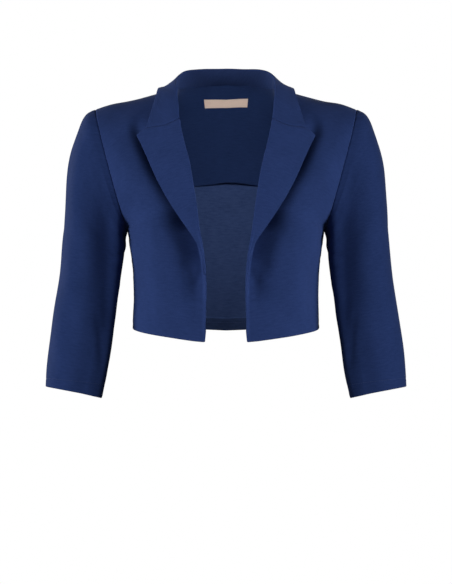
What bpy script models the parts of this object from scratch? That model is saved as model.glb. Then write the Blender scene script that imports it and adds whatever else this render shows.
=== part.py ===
"""Spencer jacket: cropped and open-fronted, notched lapels, three-quarter sleeves, filled out as if worn.

Metres, +Z up. The front faces -Y and +X is the wearer's left. The origin is on the centre line, level
with the inner ends of the shoulder seams, where the wearer's shoulders carry the garment.
"""
import math
from collections import namedtuple

import bpy
import numpy as np

# Cloth walls, the gap at each side of a seam, and how far the inner side of a wall stops short of its edge.
CLOTH = 0.0015
LAPEL_CLOTH = 0.0016
FACING_CLOTH = 0.0012
LABEL_CLOTH = 0.0010
SEAM_GAP = 0.0003
BEVEL = 0.0007

# Shoulder line and armhole, on the wearer's left.
NECK_POINT = (0.076, 0.008, 0.0)
SHOULDER_TIP = (0.195, 0.005, -0.034)
UNDERARM = (0.148, 0.003, -0.212)
ARMHOLE_FRONT = 0.057
ARMHOLE_BACK = 0.058

# Back neck, and the share of the back's top edge that it takes before the shoulder seam begins.
BACK_NECK_Y = 0.062
BACK_NECK_Z = 0.0105
NECK_SHARE = 0.42

# A line of the back just below its top edge: how far behind and below that edge it is, at the neck and at
# the shoulder.
RIDGE_LEVEL = 0.963
NAPE_BACK = 0.006
NAPE_DROP = 0.012
SHOULDER_BACK = 0.018
SHOULDER_DROP = 0.006

# Levels run from 0 at the hem to 1 at the shoulder seam.
UNDERARM_LEVEL = 0.45
BREAK_LEVEL = 0.27
GORGE_LEVEL = 0.889

# Lapel: radius of its roll, how much of that it has at the break and where it has all of it, the height of
# its belly off the front, and how far its edge stands off half way up.
ROLL_RADIUS = 0.0026
BREAK_ROLL = 0.65
FULL_ROLL_ALONG = 0.25
LAPEL_BELLY = 0.0025
LAPEL_STAND = 0.0045

# Collar: roundness of its top, how upright its stand leaves the neck seam, how straight its fall meets the
# body, and where along the gorge its point is.
COLLAR_TOP = 0.0045
STAND_TOP_SHARE = 0.6
STAND_PULL = 0.5
FALL_PULL = 0.4
COLLAR_POINT_SHARE = 0.75

# How closely the lapel's and the collar's meeting edges keep to the gorge: higher powers bend less of each.
LAPEL_GORGE_POWER = 4
COLLAR_GORGE_POWER = 6

# Facing below the back neck, and the label on it.
FACING_FOOT_LEVEL = 0.660
FACING_HEAD_LEVEL = 0.990
FACING_WAVE = 0.004
FACING_WAVE_SHARE = 0.16
LABEL_WIDTH = 0.068
LABEL_HEIGHT = 0.0125
LABEL_DROP = 0.018
LABEL_STEPS = 101

SideRow = namedtuple("SideRow", "level x y z")
SIDE_SEAM = (
    SideRow(0.00, 0.1400, 0.004, -0.359),
    SideRow(0.18, 0.1385, 0.004, -0.300),
    SideRow(0.32, 0.1420, 0.003, -0.255),
    SideRow(0.45, *UNDERARM),
)

# A front from the hem to the shoulder: where its inner edge is, how each section leaves it and meets the
# rim, and how far the section's middle bows up.
FrontRow = namedtuple("FrontRow", "level edge_x edge_y edge_z edge_turn edge_pull rim_turn rim_pull bow")
FRONT_ROWS = (
    FrontRow(0.000, 0.0310, -0.106, -0.371, 5, 0.42, 92, 0.40, 0.0022),
    FrontRow(0.180, 0.0290, -0.112, -0.305, 3, 0.44, 90, 0.40, 0.0),
    FrontRow(0.320, 0.0315, -0.118, -0.255, 0, 0.48, 88, 0.38, 0.0),
    FrontRow(0.450, 0.0395, -0.115, -0.210, -2, 0.50, 88, 0.36, 0.0),
    FrontRow(0.572, 0.0445, -0.105, -0.172, 0, 0.50, 60, 0.30, 0.0),
    FrontRow(0.694, 0.0515, -0.094, -0.130, 3, 0.48, 48, 0.30, 0.0),
    FrontRow(0.801, 0.0600, -0.078, -0.092, 5, 0.42, 40, 0.30, 0.0),
    FrontRow(0.893, 0.0705, -0.054, -0.048, 5, 0.38, 27, 0.30, 0.0),
    FrontRow(0.963, 0.0755, -0.014, -0.007, 2, 0.33, 8, 0.33, 0.0),
    FrontRow(1.000, *NECK_POINT, 0, 0.33, 0, 0.33, 0.0),
)

# Half the back from the hem to just below the shoulder, from the centre line to the rim.
BackRow = namedtuple("BackRow", "level centre_y centre_z centre_pull rim_turn rim_pull")
BACK_ROWS = (
    BackRow(0.000, 0.082, -0.369, 0.45, -92, 0.38),
    BackRow(0.180, 0.077, -0.305, 0.45, -90, 0.38),
    BackRow(0.320, 0.084, -0.258, 0.46, -90, 0.37),
    BackRow(0.450, 0.093, -0.212, 0.48, -88, 0.34),
    BackRow(0.572, 0.098, -0.172, 0.48, -68, 0.28),
    BackRow(0.694, 0.098, -0.130, 0.46, -58, 0.28),
    BackRow(0.801, 0.093, -0.085, 0.44, -48, 0.28),
    BackRow(0.893, 0.083, -0.040, 0.42, -34, 0.28),
)

# Rings of a sleeve, each by its outermost and innermost point, its depth before and behind its middle, and
# how far its front rises above its middle. The drawn rings crowd towards the armhole by a power.
SleeveRow = namedtuple("SleeveRow", "along out_x out_z in_x in_z middle_y front back rise")
SLEEVE_ROWS = (
    SleeveRow(0.00, 0.195, -0.034, 0.1492, -0.212, 0.004, 0.057, 0.058, 0.0),
    SleeveRow(0.05, 0.207, -0.0385, 0.1515, -0.221, 0.004, 0.0575, 0.060, 0.0),
    SleeveRow(0.14, 0.2205, -0.063, 0.1525, -0.230, 0.004, 0.0585, 0.061, 0.0),
    SleeveRow(0.26, 0.2325, -0.099, 0.1525, -0.236, 0.004, 0.059, 0.060, 0.0),
    SleeveRow(0.40, 0.2405, -0.159, 0.1530, -0.242, 0.003, 0.0585, 0.058, 0.0),
    SleeveRow(0.56, 0.2435, -0.240, 0.1550, -0.262, 0.001, 0.057, 0.057, 0.0),
    SleeveRow(0.72, 0.2505, -0.310, 0.1630, -0.322, -0.004, 0.054, 0.054, 0.002),
    SleeveRow(0.86, 0.2605, -0.375, 0.1715, -0.388, -0.009, 0.050, 0.050, 0.004),
    SleeveRow(1.00, 0.2685, -0.446, 0.1835, -0.462, -0.014, 0.047, 0.047, 0.006),
)
RING_CROWDING = 1.15

# Top edge of a lapel on the front, from the roll line out to its point.
GorgeRow = namedtuple("GorgeRow", "share u level")
GORGE = (
    GorgeRow(0.00, 0.000, 0.889),
    GorgeRow(0.27, 0.118, 0.873),
    GorgeRow(0.50, 0.232, 0.865),
    GorgeRow(0.75, 0.357, 0.858),
    GorgeRow(1.00, 0.477, 0.836),
)

# Outer edge of a lapel on the front, from the break up to its point.
LapelRow = namedtuple("LapelRow", "along u level")
LAPEL_EDGE = (
    LapelRow(0.000, 0.010, 0.270),
    LapelRow(0.170, 0.014, 0.368),
    LapelRow(0.300, 0.056, 0.438),
    LapelRow(0.420, 0.126, 0.508),
    LapelRow(0.640, 0.256, 0.633),
    LapelRow(0.845, 0.380, 0.748),
    LapelRow(1.000, 0.477, 0.836),
)

# Collar from the centre back to the gorge. The outer edge is placed on the body: share is -1 at the centre
# back, 0 at the neck point and 1 at the shoulder tip, and drop is the level below the shoulder, behind it if
# positive.
CollarRow = namedtuple("CollarRow", "along roll_x roll_y roll_z edge_share edge_drop edge_lift")
COLLAR_ROWS = (
    CollarRow(0.00, 0.0000, 0.066, 0.0340, -1.00, 0.070, 0.0045),
    CollarRow(0.22, 0.0420, 0.061, 0.0325, -0.50, 0.070, 0.0050),
    CollarRow(0.42, 0.0660, 0.042, 0.0265, -0.02, 0.055, 0.0070),
    CollarRow(0.62, 0.0738, 0.004, 0.0105, 0.195, 0.004, 0.0070),
    CollarRow(0.72, 0.0734, -0.014, 0.0020, 0.224, -0.035, 0.0050),
    CollarRow(0.86, 0.0720, -0.037, -0.0190, 0.272, -0.082, 0.0038),
    CollarRow(1.00, 0.0682, -0.0565, -0.0480, 0.357, -0.142, 0.0036),
)
NECK_POINT_ALONG = 0.60

# Folds pressed into the cloth: where each starts and ends on its piece, its half width and its depth. On a
# sleeve u is the turn round it from the shoulder through the front, and v is the share of its length. The
# scale is each piece's width and length.
FoldRow = namedtuple("FoldRow", "piece from_u from_v to_u to_v half_width depth")
FOLDS = (
    FoldRow("front", 0.22, 0.56, 0.12, 0.24, 0.018, 0.005),
    FoldRow("sleeve", 0.33, 0.45, 0.34, 0.85, 0.012, 0.004),
)
FOLD_SCALE = {"front": (0.17, 0.40), "sleeve": (0.33, 0.42)}

# Faces of the grids. Pieces sewn together share the points of their seam.
NECK_FACES = 6
SHOULDER_FACES = 5
FRONT_FACES = 10
SIDE_FACES = 5
ARMHOLE_FACES = 8
GORGE_FACES = 4
SLEEVE_FACES = 13
STAND_FACES = 4
FALL_FACES = 5
ROLL_FACES = 4

# Small step across a surface, as a share of it, that gives its slope.
STEP = 0.002

NAVY = (0.020, 0.038, 0.130, 1.0)
INNER_NAVY = (0.012, 0.022, 0.070, 1.0)
BEIGE = (0.55, 0.44, 0.38, 1.0)


def spline_weights(knots, places):
    """Weights that blend table rows into a natural cubic spline, one line of weights for each place."""
    count = len(knots)
    gap = np.diff(knots)
    bend = np.eye(count)
    pull = np.zeros((count, count))
    for i in range(1, count - 1):
        bend[i, i - 1:i + 2] = gap[i - 1] / 6, (gap[i - 1] + gap[i]) / 3, gap[i] / 6
        pull[i, i - 1:i + 2] = 1 / gap[i - 1], -1 / gap[i - 1] - 1 / gap[i], 1 / gap[i]
    curvature = np.linalg.solve(bend, pull)
    first = np.clip(np.searchsorted(knots, places) - 1, 0, count - 2)
    after = ((places - knots[first]) / gap[first])[:, None]
    before = 1 - after
    rows = np.eye(count)
    curved = (before**3 - before) * curvature[first] + (after**3 - after) * curvature[first + 1]
    return before * rows[first] + after * rows[first + 1] + curved * (gap[first]**2 / 6)[:, None]


def read_table(table, places):
    """Columns of a table after its first, on a smooth curve through its rows."""
    rows = np.array(table)
    return spline_weights(rows[:, 0], np.asarray(places, float)) @ rows[:, 1:]


def armhole(turn):
    """Armhole seam: an oval in the plane through the shoulder tip (turn 0) and the underarm (half a turn)."""
    tip, under = np.array(SHOULDER_TIP), np.array(UNDERARM)
    points = (tip + under) / 2 + np.outer(np.cos(turn), (tip - under) / 2)
    points[:, 1] -= np.where(np.sin(turn) > 0, ARMHOLE_FRONT, ARMHOLE_BACK) * np.sin(turn)
    return points


def rim(level, way):
    """Outer edge of a front (way 1) or of half the back (way -1): the side seam, then the armhole."""
    turn = math.pi * (1 - level) / (1 - UNDERARM_LEVEL)
    on_side = (level < UNDERARM_LEVEL)[:, None]
    return np.where(on_side, read_table(SIDE_SEAM, np.minimum(level, UNDERARM_LEVEL)), armhole(way * turn))


def section(start, end, start_turn, start_pull, end_turn, end_pull, bow, u):
    """Bezier curve in plan, leaving the start and meeting the end at angles from +X; its height is even."""
    start, end = np.array(start), np.array(end)
    reach = np.linalg.norm((end - start)[:2])
    leave, meet = math.radians(start_turn), math.radians(end_turn)
    near = start + start_pull * reach * np.array((math.cos(leave), math.sin(leave), 0))
    far = end - end_pull * reach * np.array((math.cos(meet), math.sin(meet), 0))
    u = u[:, None]
    points = (1 - u)**3 * start + 3 * u * (1 - u)**2 * near + 3 * u**2 * (1 - u) * far + u**3 * end
    points[:, 2] = (start + (end - start) * u)[:, 2] + 4 * bow * (u * (1 - u))[:, 0]
    return points


def loft(levels, curves, u, v, way):
    """Smooth surface through a stack of section curves, its outer edge drawn exactly onto the rim."""
    weights = spline_weights(np.array(levels), v)
    points = np.einsum("nk,knc->nc", weights, np.array([curve(u) for curve in curves]))
    ends = weights @ np.array([curve(np.ones(1))[0] for curve in curves])
    return points + (u**3)[:, None] * (rim(v, way) - ends)


def front_surface(u, v):
    """Outside of the left front: u from its inner edge to its rim, v from the hem to the shoulder."""
    curves = []
    for row in FRONT_ROWS:
        edge = (row.edge_x, row.edge_y, row.edge_z)
        end = rim(np.array([row.level]), 1)[0]
        curves.append(lambda u, r=row, a=edge, b=end:
                      section(a, b, r.edge_turn, r.edge_pull, r.rim_turn, r.rim_pull, r.bow, u))
    return loft([row.level for row in FRONT_ROWS], curves, u, v, 1)


def back_top(u):
    """Top edge of half the back: round the neck, then along the shoulder seam."""
    neck, tip = np.array(NECK_POINT), np.array(SHOULDER_TIP)
    turn = math.pi / 2 * np.minimum(u / NECK_SHARE, 1)
    round_neck = np.stack((neck[0] * np.sin(turn), neck[1] + (BACK_NECK_Y - neck[1]) * np.cos(turn),
                           BACK_NECK_Z * np.cos(turn)), axis=1)
    on_shoulder = np.maximum((u - NECK_SHARE) / (1 - NECK_SHARE), 0)[:, None]
    return round_neck + on_shoulder * (tip - neck)


def back_ridge(u):
    """A line just below the back's top edge, close under the neck and further behind the shoulder seam."""
    behind = np.interp(u, (0, NECK_SHARE), (NAPE_BACK, SHOULDER_BACK))
    below = np.interp(u, (0, NECK_SHARE), (NAPE_DROP, SHOULDER_DROP))
    return back_top(u) + np.stack((0 * u, behind, -below), axis=1)


def back_surface(u, v):
    """Outside of the back: u from -1 to 1 across it, v from hem to neck and shoulders."""
    curves = []
    for row in BACK_ROWS:
        centre = (0, row.centre_y, row.centre_z)
        end = rim(np.array([row.level]), -1)[0]
        curves.append(lambda u, r=row, a=centre, b=end:
                      section(a, b, 0, r.centre_pull, r.rim_turn, r.rim_pull, 0, u))
    curves.append(back_ridge)
    curves.append(back_top)
    levels = [row.level for row in BACK_ROWS] + [RIDGE_LEVEL, 1.0]
    points = loft(levels, curves, np.abs(u), v, -1)
    points[:, 0] *= np.sign(u) + (u == 0)
    return points


def moved_out(surface, u, v, height, outward=1):
    """Points of a surface moved out along its normal."""
    across = surface(u + STEP, v) - surface(u - STEP, v)
    along = surface(u, v + STEP) - surface(u, v - STEP)
    normal = np.cross(across, along) * outward
    normal /= np.linalg.norm(normal, axis=1, keepdims=True)
    return surface(u, v) + normal * np.reshape(height, (-1, 1))


def grid(across, along):
    """Two parameter arrays over a grid, flattened row by row."""
    first, second = np.meshgrid(across, along)
    return first.ravel(), second.ravel()


def grid_normals(points, closed=False):
    """Unit normals of a grid of points."""
    if closed:
        across = np.roll(points, -1, axis=1) - np.roll(points, 1, axis=1)
    else:
        across = np.gradient(points, axis=1)
    normal = np.cross(across, np.gradient(points, axis=0))
    return normal / np.linalg.norm(normal, axis=2, keepdims=True)


def tuck(points, distance, closed=False):
    """Draw the edges of a grid in, square to each edge."""
    normal = grid_normals(points, closed)
    drawn = points.copy()
    edges = [(np.s_[0], np.s_[1]), (np.s_[-1], np.s_[-2])]
    if not closed:
        edges += [(np.s_[:, 0], np.s_[:, 1]), (np.s_[:, -1], np.s_[:, -2])]
    for edge, beside in edges:
        inward = np.cross(normal[edge], np.gradient(points[edge], axis=0))
        inward /= np.linalg.norm(inward, axis=1, keepdims=True)
        drawn[edge] += inward * distance * np.sign(np.sum(inward * (points[beside] - points[edge])))
    return drawn


def fold_depth(piece, u, v):
    """Depth of a piece's folds: each is a soft trough along a straight line on it."""
    scale = np.array(FOLD_SCALE[piece])
    places = np.stack((u, v), axis=-1) * scale
    depth = np.zeros(np.shape(u))
    for row in FOLDS:
        if row.piece != piece:
            continue
        start = np.array((row.from_u, row.from_v)) * scale
        run = np.array((row.to_u, row.to_v)) * scale - start
        share = np.clip((places - start) @ run / (run @ run), 0, 1)
        distance = np.linalg.norm(places - start - share[..., None] * run, axis=-1)
        depth += row.depth * np.exp(-(distance / row.half_width)**2)
    return depth


def sleeve_grid(turn):
    """Left sleeve: rings from the armhole down to the hem, each turning from the shoulder forwards."""
    along = np.linspace(0, 1, SLEEVE_FACES + 1)**RING_CROWDING
    rows = read_table(SLEEVE_ROWS, along)
    out_x, out_z, in_x, in_z, middle_y, front, back, rise = (column[:, None] for column in rows.T)
    u, v = np.meshgrid(turn / (2 * math.pi), along)
    pressed = 1 - fold_depth("sleeve", u, v) / front
    cosine, sine = np.cos(turn) * pressed, np.sin(turn) * pressed
    return np.stack(((out_x + in_x) / 2 + (out_x - in_x) / 2 * cosine,
                     middle_y - np.where(sine > 0, front, back) * sine,
                     (out_z + in_z) / 2 + (out_z - in_z) / 2 * cosine + rise * sine), axis=2)


def lapel_lift(share, along):
    """Height of a lapel's upper side off the front, from the roll line to its outer edge and along it."""
    stand = LAPEL_STAND * share**2 * np.sin(math.pi * along)
    return 2 * ROLL_RADIUS - LAPEL_CLOTH + LAPEL_BELLY * np.sin(math.pi * share) + stand


def lapel_grid(roll_level):
    """Left lapel: it turns round the roll line, then lies on the front out to its edge."""
    along = (roll_level - BREAK_LEVEL) / (GORGE_LEVEL - BREAK_LEVEL)
    edge = read_table(LAPEL_EDGE, along)
    share = np.append(np.linspace(0, COLLAR_POINT_SHARE, FALL_FACES + 1), 1)
    gorge = read_table(GORGE, share)
    straight = gorge[0] + share[:, None] * (gorge[-1] - gorge[0])
    top = along[:, None, None]**LAPEL_GORGE_POWER * (gorge - straight)
    u = edge[:, 0, None] * share + top[..., 0]
    v = roll_level[:, None] + (edge[:, 1] - roll_level)[:, None] * share + top[..., 1]
    flat = moved_out(front_surface, u.ravel(), v.ravel(), lapel_lift(share, along[:, None]).ravel())
    flat = flat.reshape(len(along), len(share), 3)
    none = np.zeros(len(along))
    base = front_surface(none, roll_level)
    outward = moved_out(front_surface, none, roll_level, 1.0) - base
    inward = base - front_surface(none + STEP, roll_level)
    inward /= np.linalg.norm(inward, axis=1, keepdims=True)
    turn = np.linspace(0, math.pi, ROLL_FACES, endpoint=False)[:, None]
    radius = ROLL_RADIUS * np.interp(along, (0, FULL_ROLL_ALONG), (BREAK_ROLL, 1))[:, None, None]
    roll = (base[:, None] + radius * np.sin(turn) * inward[:, None]
            + (radius * (1 - np.cos(turn)) - LAPEL_CLOTH) * outward[:, None])
    return np.concatenate((roll, flat), axis=1)


def on_body(share, drop, height):
    """Points on the shoulder, behind it if the drop is positive, moved out from the body."""
    behind = (drop > 0) | (share < 0)
    back_u = np.where(share < 0, NECK_SHARE * (1 + share), NECK_SHARE + (1 - NECK_SHARE) * share)
    on_back = moved_out(back_surface, back_u, 1 - np.abs(drop), height, -1)
    on_front = moved_out(front_surface, np.maximum(share, 0), 1 - np.abs(drop), height)
    return np.where(behind[:, None], on_back, on_front)


def bezier(first, second, third, fourth, share):
    """Bezier curves between rows of points, a curve for each row."""
    share = share[:, None]
    return ((1 - share)**3 * first[:, None] + 3 * share * (1 - share)**2 * second[:, None]
            + 3 * share**2 * (1 - share) * third[:, None] + share**3 * fourth[:, None])


def collar_grid():
    """Left half of the collar: up from the neck seam, over its top and down to its edge on the body."""
    along = np.append(np.linspace(0, NECK_POINT_ALONG, NECK_FACES + 1),
                      np.linspace(NECK_POINT_ALONG, 1, GORGE_FACES + 1)[1:])
    rows = read_table(COLLAR_ROWS, along)
    roll = rows[:, :3]
    edge = on_body(rows[:, 3], rows[:, 4], rows[:, 5])
    seam_share = np.interp(along, (0, NECK_POINT_ALONG, 1), (-1, 0, 0))
    seam_drop = np.interp(along, (0, NECK_POINT_ALONG, 1), (0, 0, GORGE_LEVEL - 1))
    seam = on_body(seam_share, seam_drop, 0.0)
    tangent = np.gradient(roll, axis=0)
    outward = np.cross(tangent, (0, 0, 1)) * (-1)
    outward /= np.linalg.norm(outward, axis=1, keepdims=True)
    leave = seam + STAND_PULL * (roll - seam)
    arrive = roll - STAND_TOP_SHARE * COLLAR_TOP * outward
    stand = bezier(seam, leave, arrive, roll, np.linspace(0, 1, STAND_FACES, endpoint=False))
    fall_share = np.linspace(0, 1, FALL_FACES + 1)
    fall = bezier(roll, roll + COLLAR_TOP * outward, edge + FALL_PULL * (roll - edge), edge, fall_share)
    gorge_share = fall_share * COLLAR_POINT_SHARE
    gorge = read_table(GORGE, gorge_share)
    end = moved_out(front_surface, gorge[:, 0], gorge[:, 1], lapel_lift(gorge_share, 1.0))
    fall[:, 1:] += (along**COLLAR_GORGE_POWER)[:, None, None] * (end - fall[-1])[None, 1:]
    return np.concatenate((stand, fall), axis=1)


def between(lines, first, last):
    """Numbers of the lines from the first to the last, both kept."""
    return np.flatnonzero((lines >= first) & (lines <= last))


def mirrored(points):
    """The same grid on the wearer's other side, its faces still turned outwards."""
    return points[:, ::-1] * np.array((-1, 1, 1))


def make_cloth(name, outer, wall, colour, closed=False):
    """Piece of cloth from a grid of points on its outside, with its wall on the inner side."""
    inner = tuck(outer - grid_normals(outer, closed) * wall, BEVEL, closed)
    rows, columns = outer.shape[:2]
    number = np.arange(rows * columns).reshape(rows, columns)
    if closed:
        number = np.concatenate((number, number[:, :1]), axis=1)
    low_left, low_right = number[:-1, :-1], number[:-1, 1:]
    top_left, top_right = number[1:, :-1], number[1:, 1:]
    faces = np.stack((low_left, low_right, top_right, low_left, top_right, top_left), axis=2).reshape(-1, 3)
    edges = [number[0], number[-1, ::-1]]
    if not closed:
        edges += [number[::-1, 0], number[:, -1]]
    below = rows * columns
    rims = [np.stack((edge[:-1], edge[:-1] + below, edge[1:] + below, edge[1:]), axis=1) for edge in edges]
    mesh = bpy.data.meshes.new(name)
    mesh.from_pydata(np.concatenate((outer.reshape(-1, 3), inner.reshape(-1, 3))).tolist(), [],
                     faces.tolist() + (faces[:, ::-1] + below).tolist() + np.concatenate(rims).tolist())
    mesh.update()
    piece = bpy.data.objects.new(name, mesh)
    material = bpy.data.materials.new(name)
    material.use_nodes = True
    shader = material.node_tree.nodes["Principled BSDF"]
    shader.inputs["Base Color"].default_value = colour
    shader.inputs["Roughness"].default_value = 0.9
    mesh.materials.append(material)
    jacket.objects.link(piece)


for old in list(bpy.data.objects):
    bpy.data.objects.remove(old)
jacket = bpy.data.collections.new("spencer_jacket")
bpy.context.scene.collection.children.link(jacket)

side_levels = np.linspace(0, UNDERARM_LEVEL, SIDE_FACES + 1)
armhole_levels = np.linspace(UNDERARM_LEVEL, GORGE_LEVEL, ARMHOLE_FACES + 1)
gorge_levels = np.linspace(GORGE_LEVEL, 1, GORGE_FACES + 1)
front_levels = np.concatenate((side_levels, armhole_levels[1:], gorge_levels[1:]))
front_lines = np.linspace(0, 1, FRONT_FACES + 1)
u, v = grid(front_lines, front_levels)
front = front_surface(u, v)
front[:, 1] += fold_depth("front", u, v)
front = tuck(front.reshape(len(front_levels), len(front_lines), 3), SEAM_GAP)
make_cloth("front_left", front, CLOTH, NAVY)
make_cloth("front_right", mirrored(front), CLOTH, NAVY)

# The back has a line of points wherever the facing or the label on it begins or ends, so that they lie true
# to it. The label's limits are found on the back's centre line and on the line across its middle.
levels = np.linspace(FACING_FOOT_LEVEL, 1, LABEL_STEPS)
centre_z = back_surface(np.zeros(LABEL_STEPS), levels)[:, 2]
label_foot = np.interp(-LABEL_DROP - LABEL_HEIGHT / 2, centre_z, levels)
label_head = np.interp(-LABEL_DROP + LABEL_HEIGHT / 2, centre_z, levels)
shares = np.linspace(0, NECK_SHARE, LABEL_STEPS)
row_x = back_surface(shares, np.full(LABEL_STEPS, (label_foot + label_head) / 2))[:, 0]
label_half = np.interp(LABEL_WIDTH / 2, row_x, shares)
neck_lines = np.linspace(0, NECK_SHARE, NECK_FACES + 1)
shoulder_lines = np.linspace(NECK_SHARE, 1, SHOULDER_FACES + 1)
half_lines = np.append(neck_lines, shoulder_lines)
facing_half = half_lines[-2]
half_lines = np.append(half_lines, label_half)
back_lines = np.unique(np.append(-half_lines, half_lines))
facing_levels = (FACING_FOOT_LEVEL, FACING_HEAD_LEVEL, label_foot, label_head)
back_levels = np.unique(np.append(front_levels, facing_levels))
u, v = grid(back_lines[::-1], back_levels)
back = tuck(back_surface(u, v).reshape(len(back_levels), len(back_lines), 3), SEAM_GAP)
make_cloth("back_panel", back, CLOTH, NAVY)

quarter = math.pi / (1 - UNDERARM_LEVEL)
before = quarter * (1 - front_levels[front_levels >= UNDERARM_LEVEL])[::-1]
behind = 2 * math.pi - quarter * (1 - back_levels[(back_levels > UNDERARM_LEVEL) & (back_levels < 1)])
sleeve = sleeve_grid(np.append(before, behind))[:, ::-1]
sleeve = tuck(sleeve, SEAM_GAP, closed=True)
make_cloth("sleeve_left", sleeve, CLOTH, NAVY, closed=True)
make_cloth("sleeve_right", mirrored(sleeve), CLOTH, NAVY, closed=True)

lapel = tuck(lapel_grid(front_levels[between(front_levels, BREAK_LEVEL, GORGE_LEVEL)]), SEAM_GAP)
make_cloth("lapel_left", lapel, LAPEL_CLOTH, NAVY)
make_cloth("lapel_right", mirrored(lapel), LAPEL_CLOTH, NAVY)

half = collar_grid()
collar = tuck(np.concatenate((half[:0:-1], half * np.array((-1, 1, 1)))), SEAM_GAP)
make_cloth("collar", collar, LAPEL_CLOTH, NAVY)

# The facing and the label are the back's own points moved in below its wall.
inward = -grid_normals(back)
rows = between(back_levels, FACING_FOOT_LEVEL, FACING_HEAD_LEVEL)
columns = between(back_lines, -facing_half, facing_half)
facing = (back + inward * (CLOTH + SEAM_GAP))[np.ix_(rows, columns)]
wave = np.exp(-(back_lines[columns] / FACING_WAVE_SHARE)**2) * FACING_WAVE
facing[0] += wave[:, None] * np.array((0, -1, 1))
make_cloth("back_neck_facing", facing, FACING_CLOTH, INNER_NAVY)

rows = between(back_levels, label_foot, label_head)
columns = between(back_lines, -label_half, label_half)
label = (back + inward * (CLOTH + FACING_CLOTH + 2 * SEAM_GAP))[np.ix_(rows, columns)]
make_cloth("neck_label", label, LABEL_CLOTH, BEIGE)
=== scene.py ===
import math

import bpy
import numpy as np
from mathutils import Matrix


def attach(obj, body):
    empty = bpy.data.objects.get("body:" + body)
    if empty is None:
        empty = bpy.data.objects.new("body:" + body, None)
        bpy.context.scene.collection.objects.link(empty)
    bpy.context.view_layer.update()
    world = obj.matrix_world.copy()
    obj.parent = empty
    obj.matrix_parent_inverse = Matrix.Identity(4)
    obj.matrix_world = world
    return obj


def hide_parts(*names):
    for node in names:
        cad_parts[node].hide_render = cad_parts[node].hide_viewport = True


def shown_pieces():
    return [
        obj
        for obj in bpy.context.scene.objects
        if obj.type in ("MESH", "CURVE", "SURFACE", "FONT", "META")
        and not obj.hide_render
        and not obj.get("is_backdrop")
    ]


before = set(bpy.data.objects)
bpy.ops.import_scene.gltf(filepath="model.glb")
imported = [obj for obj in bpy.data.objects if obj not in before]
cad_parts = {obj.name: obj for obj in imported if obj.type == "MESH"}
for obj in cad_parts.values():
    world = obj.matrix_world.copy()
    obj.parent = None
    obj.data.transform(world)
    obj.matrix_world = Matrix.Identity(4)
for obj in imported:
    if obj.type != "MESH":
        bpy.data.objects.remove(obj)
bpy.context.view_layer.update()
print("frame loaded:", len(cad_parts), "pieces of the cut")


# Natural cubic spline: weights that blend a table's rows, one line of weights for each place.
def splineWeights(knots, places):
    knots, places = np.asarray(knots, float), np.ravel(places)
    count, gap = len(knots), np.diff(knots)
    bend, pull = np.eye(count), np.zeros((count, count))
    for i in range(1, count - 1):
        bend[i, i - 1:i + 2] = gap[i - 1] / 6, (gap[i - 1] + gap[i]) / 3, gap[i] / 6
        pull[i, i - 1:i + 2] = 1 / gap[i - 1], -1 / gap[i - 1] - 1 / gap[i], 1 / gap[i]
    curvature = np.linalg.solve(bend, pull)
    first = np.clip(np.searchsorted(knots, places) - 1, 0, count - 2)
    after = ((places - knots[first]) / gap[first])[:, None]
    before = 1 - after
    rows = np.eye(count)
    curved = (before**3 - before) * curvature[first] + (after**3 - after) * curvature[first + 1]
    return before * rows[first] + after * rows[first + 1] + curved * (gap[first]**2 / 6)[:, None]


# Columns of a table at any places of its first column, on a smooth curve through its rows.
def readTable(table, places):
    names = list(table)
    weights = splineWeights(table[names[0]], places)
    return {name: (weights @ np.array(table[name], float)).reshape(np.shape(places)) for name in names[1:]}


# Lines of a grid from 0 to 1 that crowd towards both ends, where the seams and hems are.
def crowdedLines(count, crowding=0.8):
    even = np.linspace(0, 1, count)
    return even - crowding * np.sin(2 * math.pi * even) / (2 * math.pi)


# Vectors scaled to unit length.
def unit(vectors):
    return vectors / np.linalg.norm(vectors, axis=-1, keepdims=True)


# The body's cut, in metres: shoulder line, armhole and back neck on the wearer's left.
bodyCut = {
    "neckPoint": (0.076, 0.008, 0), "shoulderTip": (0.195, 0.005, -0.034),
    "underarm": (0.148, 0.003, -0.212), "armholeFront": 0.057, "armholeBack": 0.058,
    "backNeckY": 0.062, "backNeckZ": 0.0105, "neckShare": 0.42, "napeBack": 0.006, "napeDrop": 0.012,
    "shoulderBack": 0.018, "shoulderDrop": 0.006,
    # levels: 0 at the hem, 1 at the shoulder
    "underarmLevel": 0.45, "breakLevel": 0.27, "gorgeLevel": 0.889, "ridgeLevel": 0.963,
}
sideSeam = {
    "level": (0, 0.18, 0.32, 0.45),
    "x": (0.140, 0.1385, 0.142, 0.148),
    "y": (0.004, 0.004, 0.003, 0.003),
    "z": (-0.359, -0.300, -0.255, -0.212),
}
# Sections of a front: its inner edge, the angle and pull with which it leaves it, and those at its rim.
frontSections = {
    "level": (0, 0.18, 0.32, 0.45, 0.572, 0.694, 0.801, 0.893, 0.963, 1),
    "edgeX": (0.031, 0.029, 0.0315, 0.0395, 0.0445, 0.0515, 0.060, 0.0705, 0.0755, 0.076),
    "edgeY": (-0.106, -0.112, -0.118, -0.115, -0.105, -0.094, -0.078, -0.054, -0.014, 0.008),
    "edgeZ": (-0.371, -0.305, -0.255, -0.210, -0.172, -0.130, -0.092, -0.048, -0.007, 0),
    "edgeTurn": (5, 3, 0, -2, 0, 3, 5, 5, 2, 0),
    "edgePull": (0.42, 0.44, 0.48, 0.50, 0.50, 0.48, 0.42, 0.38, 0.33, 0.33),
    "rimTurn": (92, 90, 88, 88, 60, 48, 40, 27, 8, 0),
    "rimPull": (0.40, 0.40, 0.38, 0.36, 0.30, 0.30, 0.30, 0.30, 0.33, 0.33),
    "bow": (0.0022, 0, 0, 0, 0, 0, 0, 0, 0, 0),
}
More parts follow.
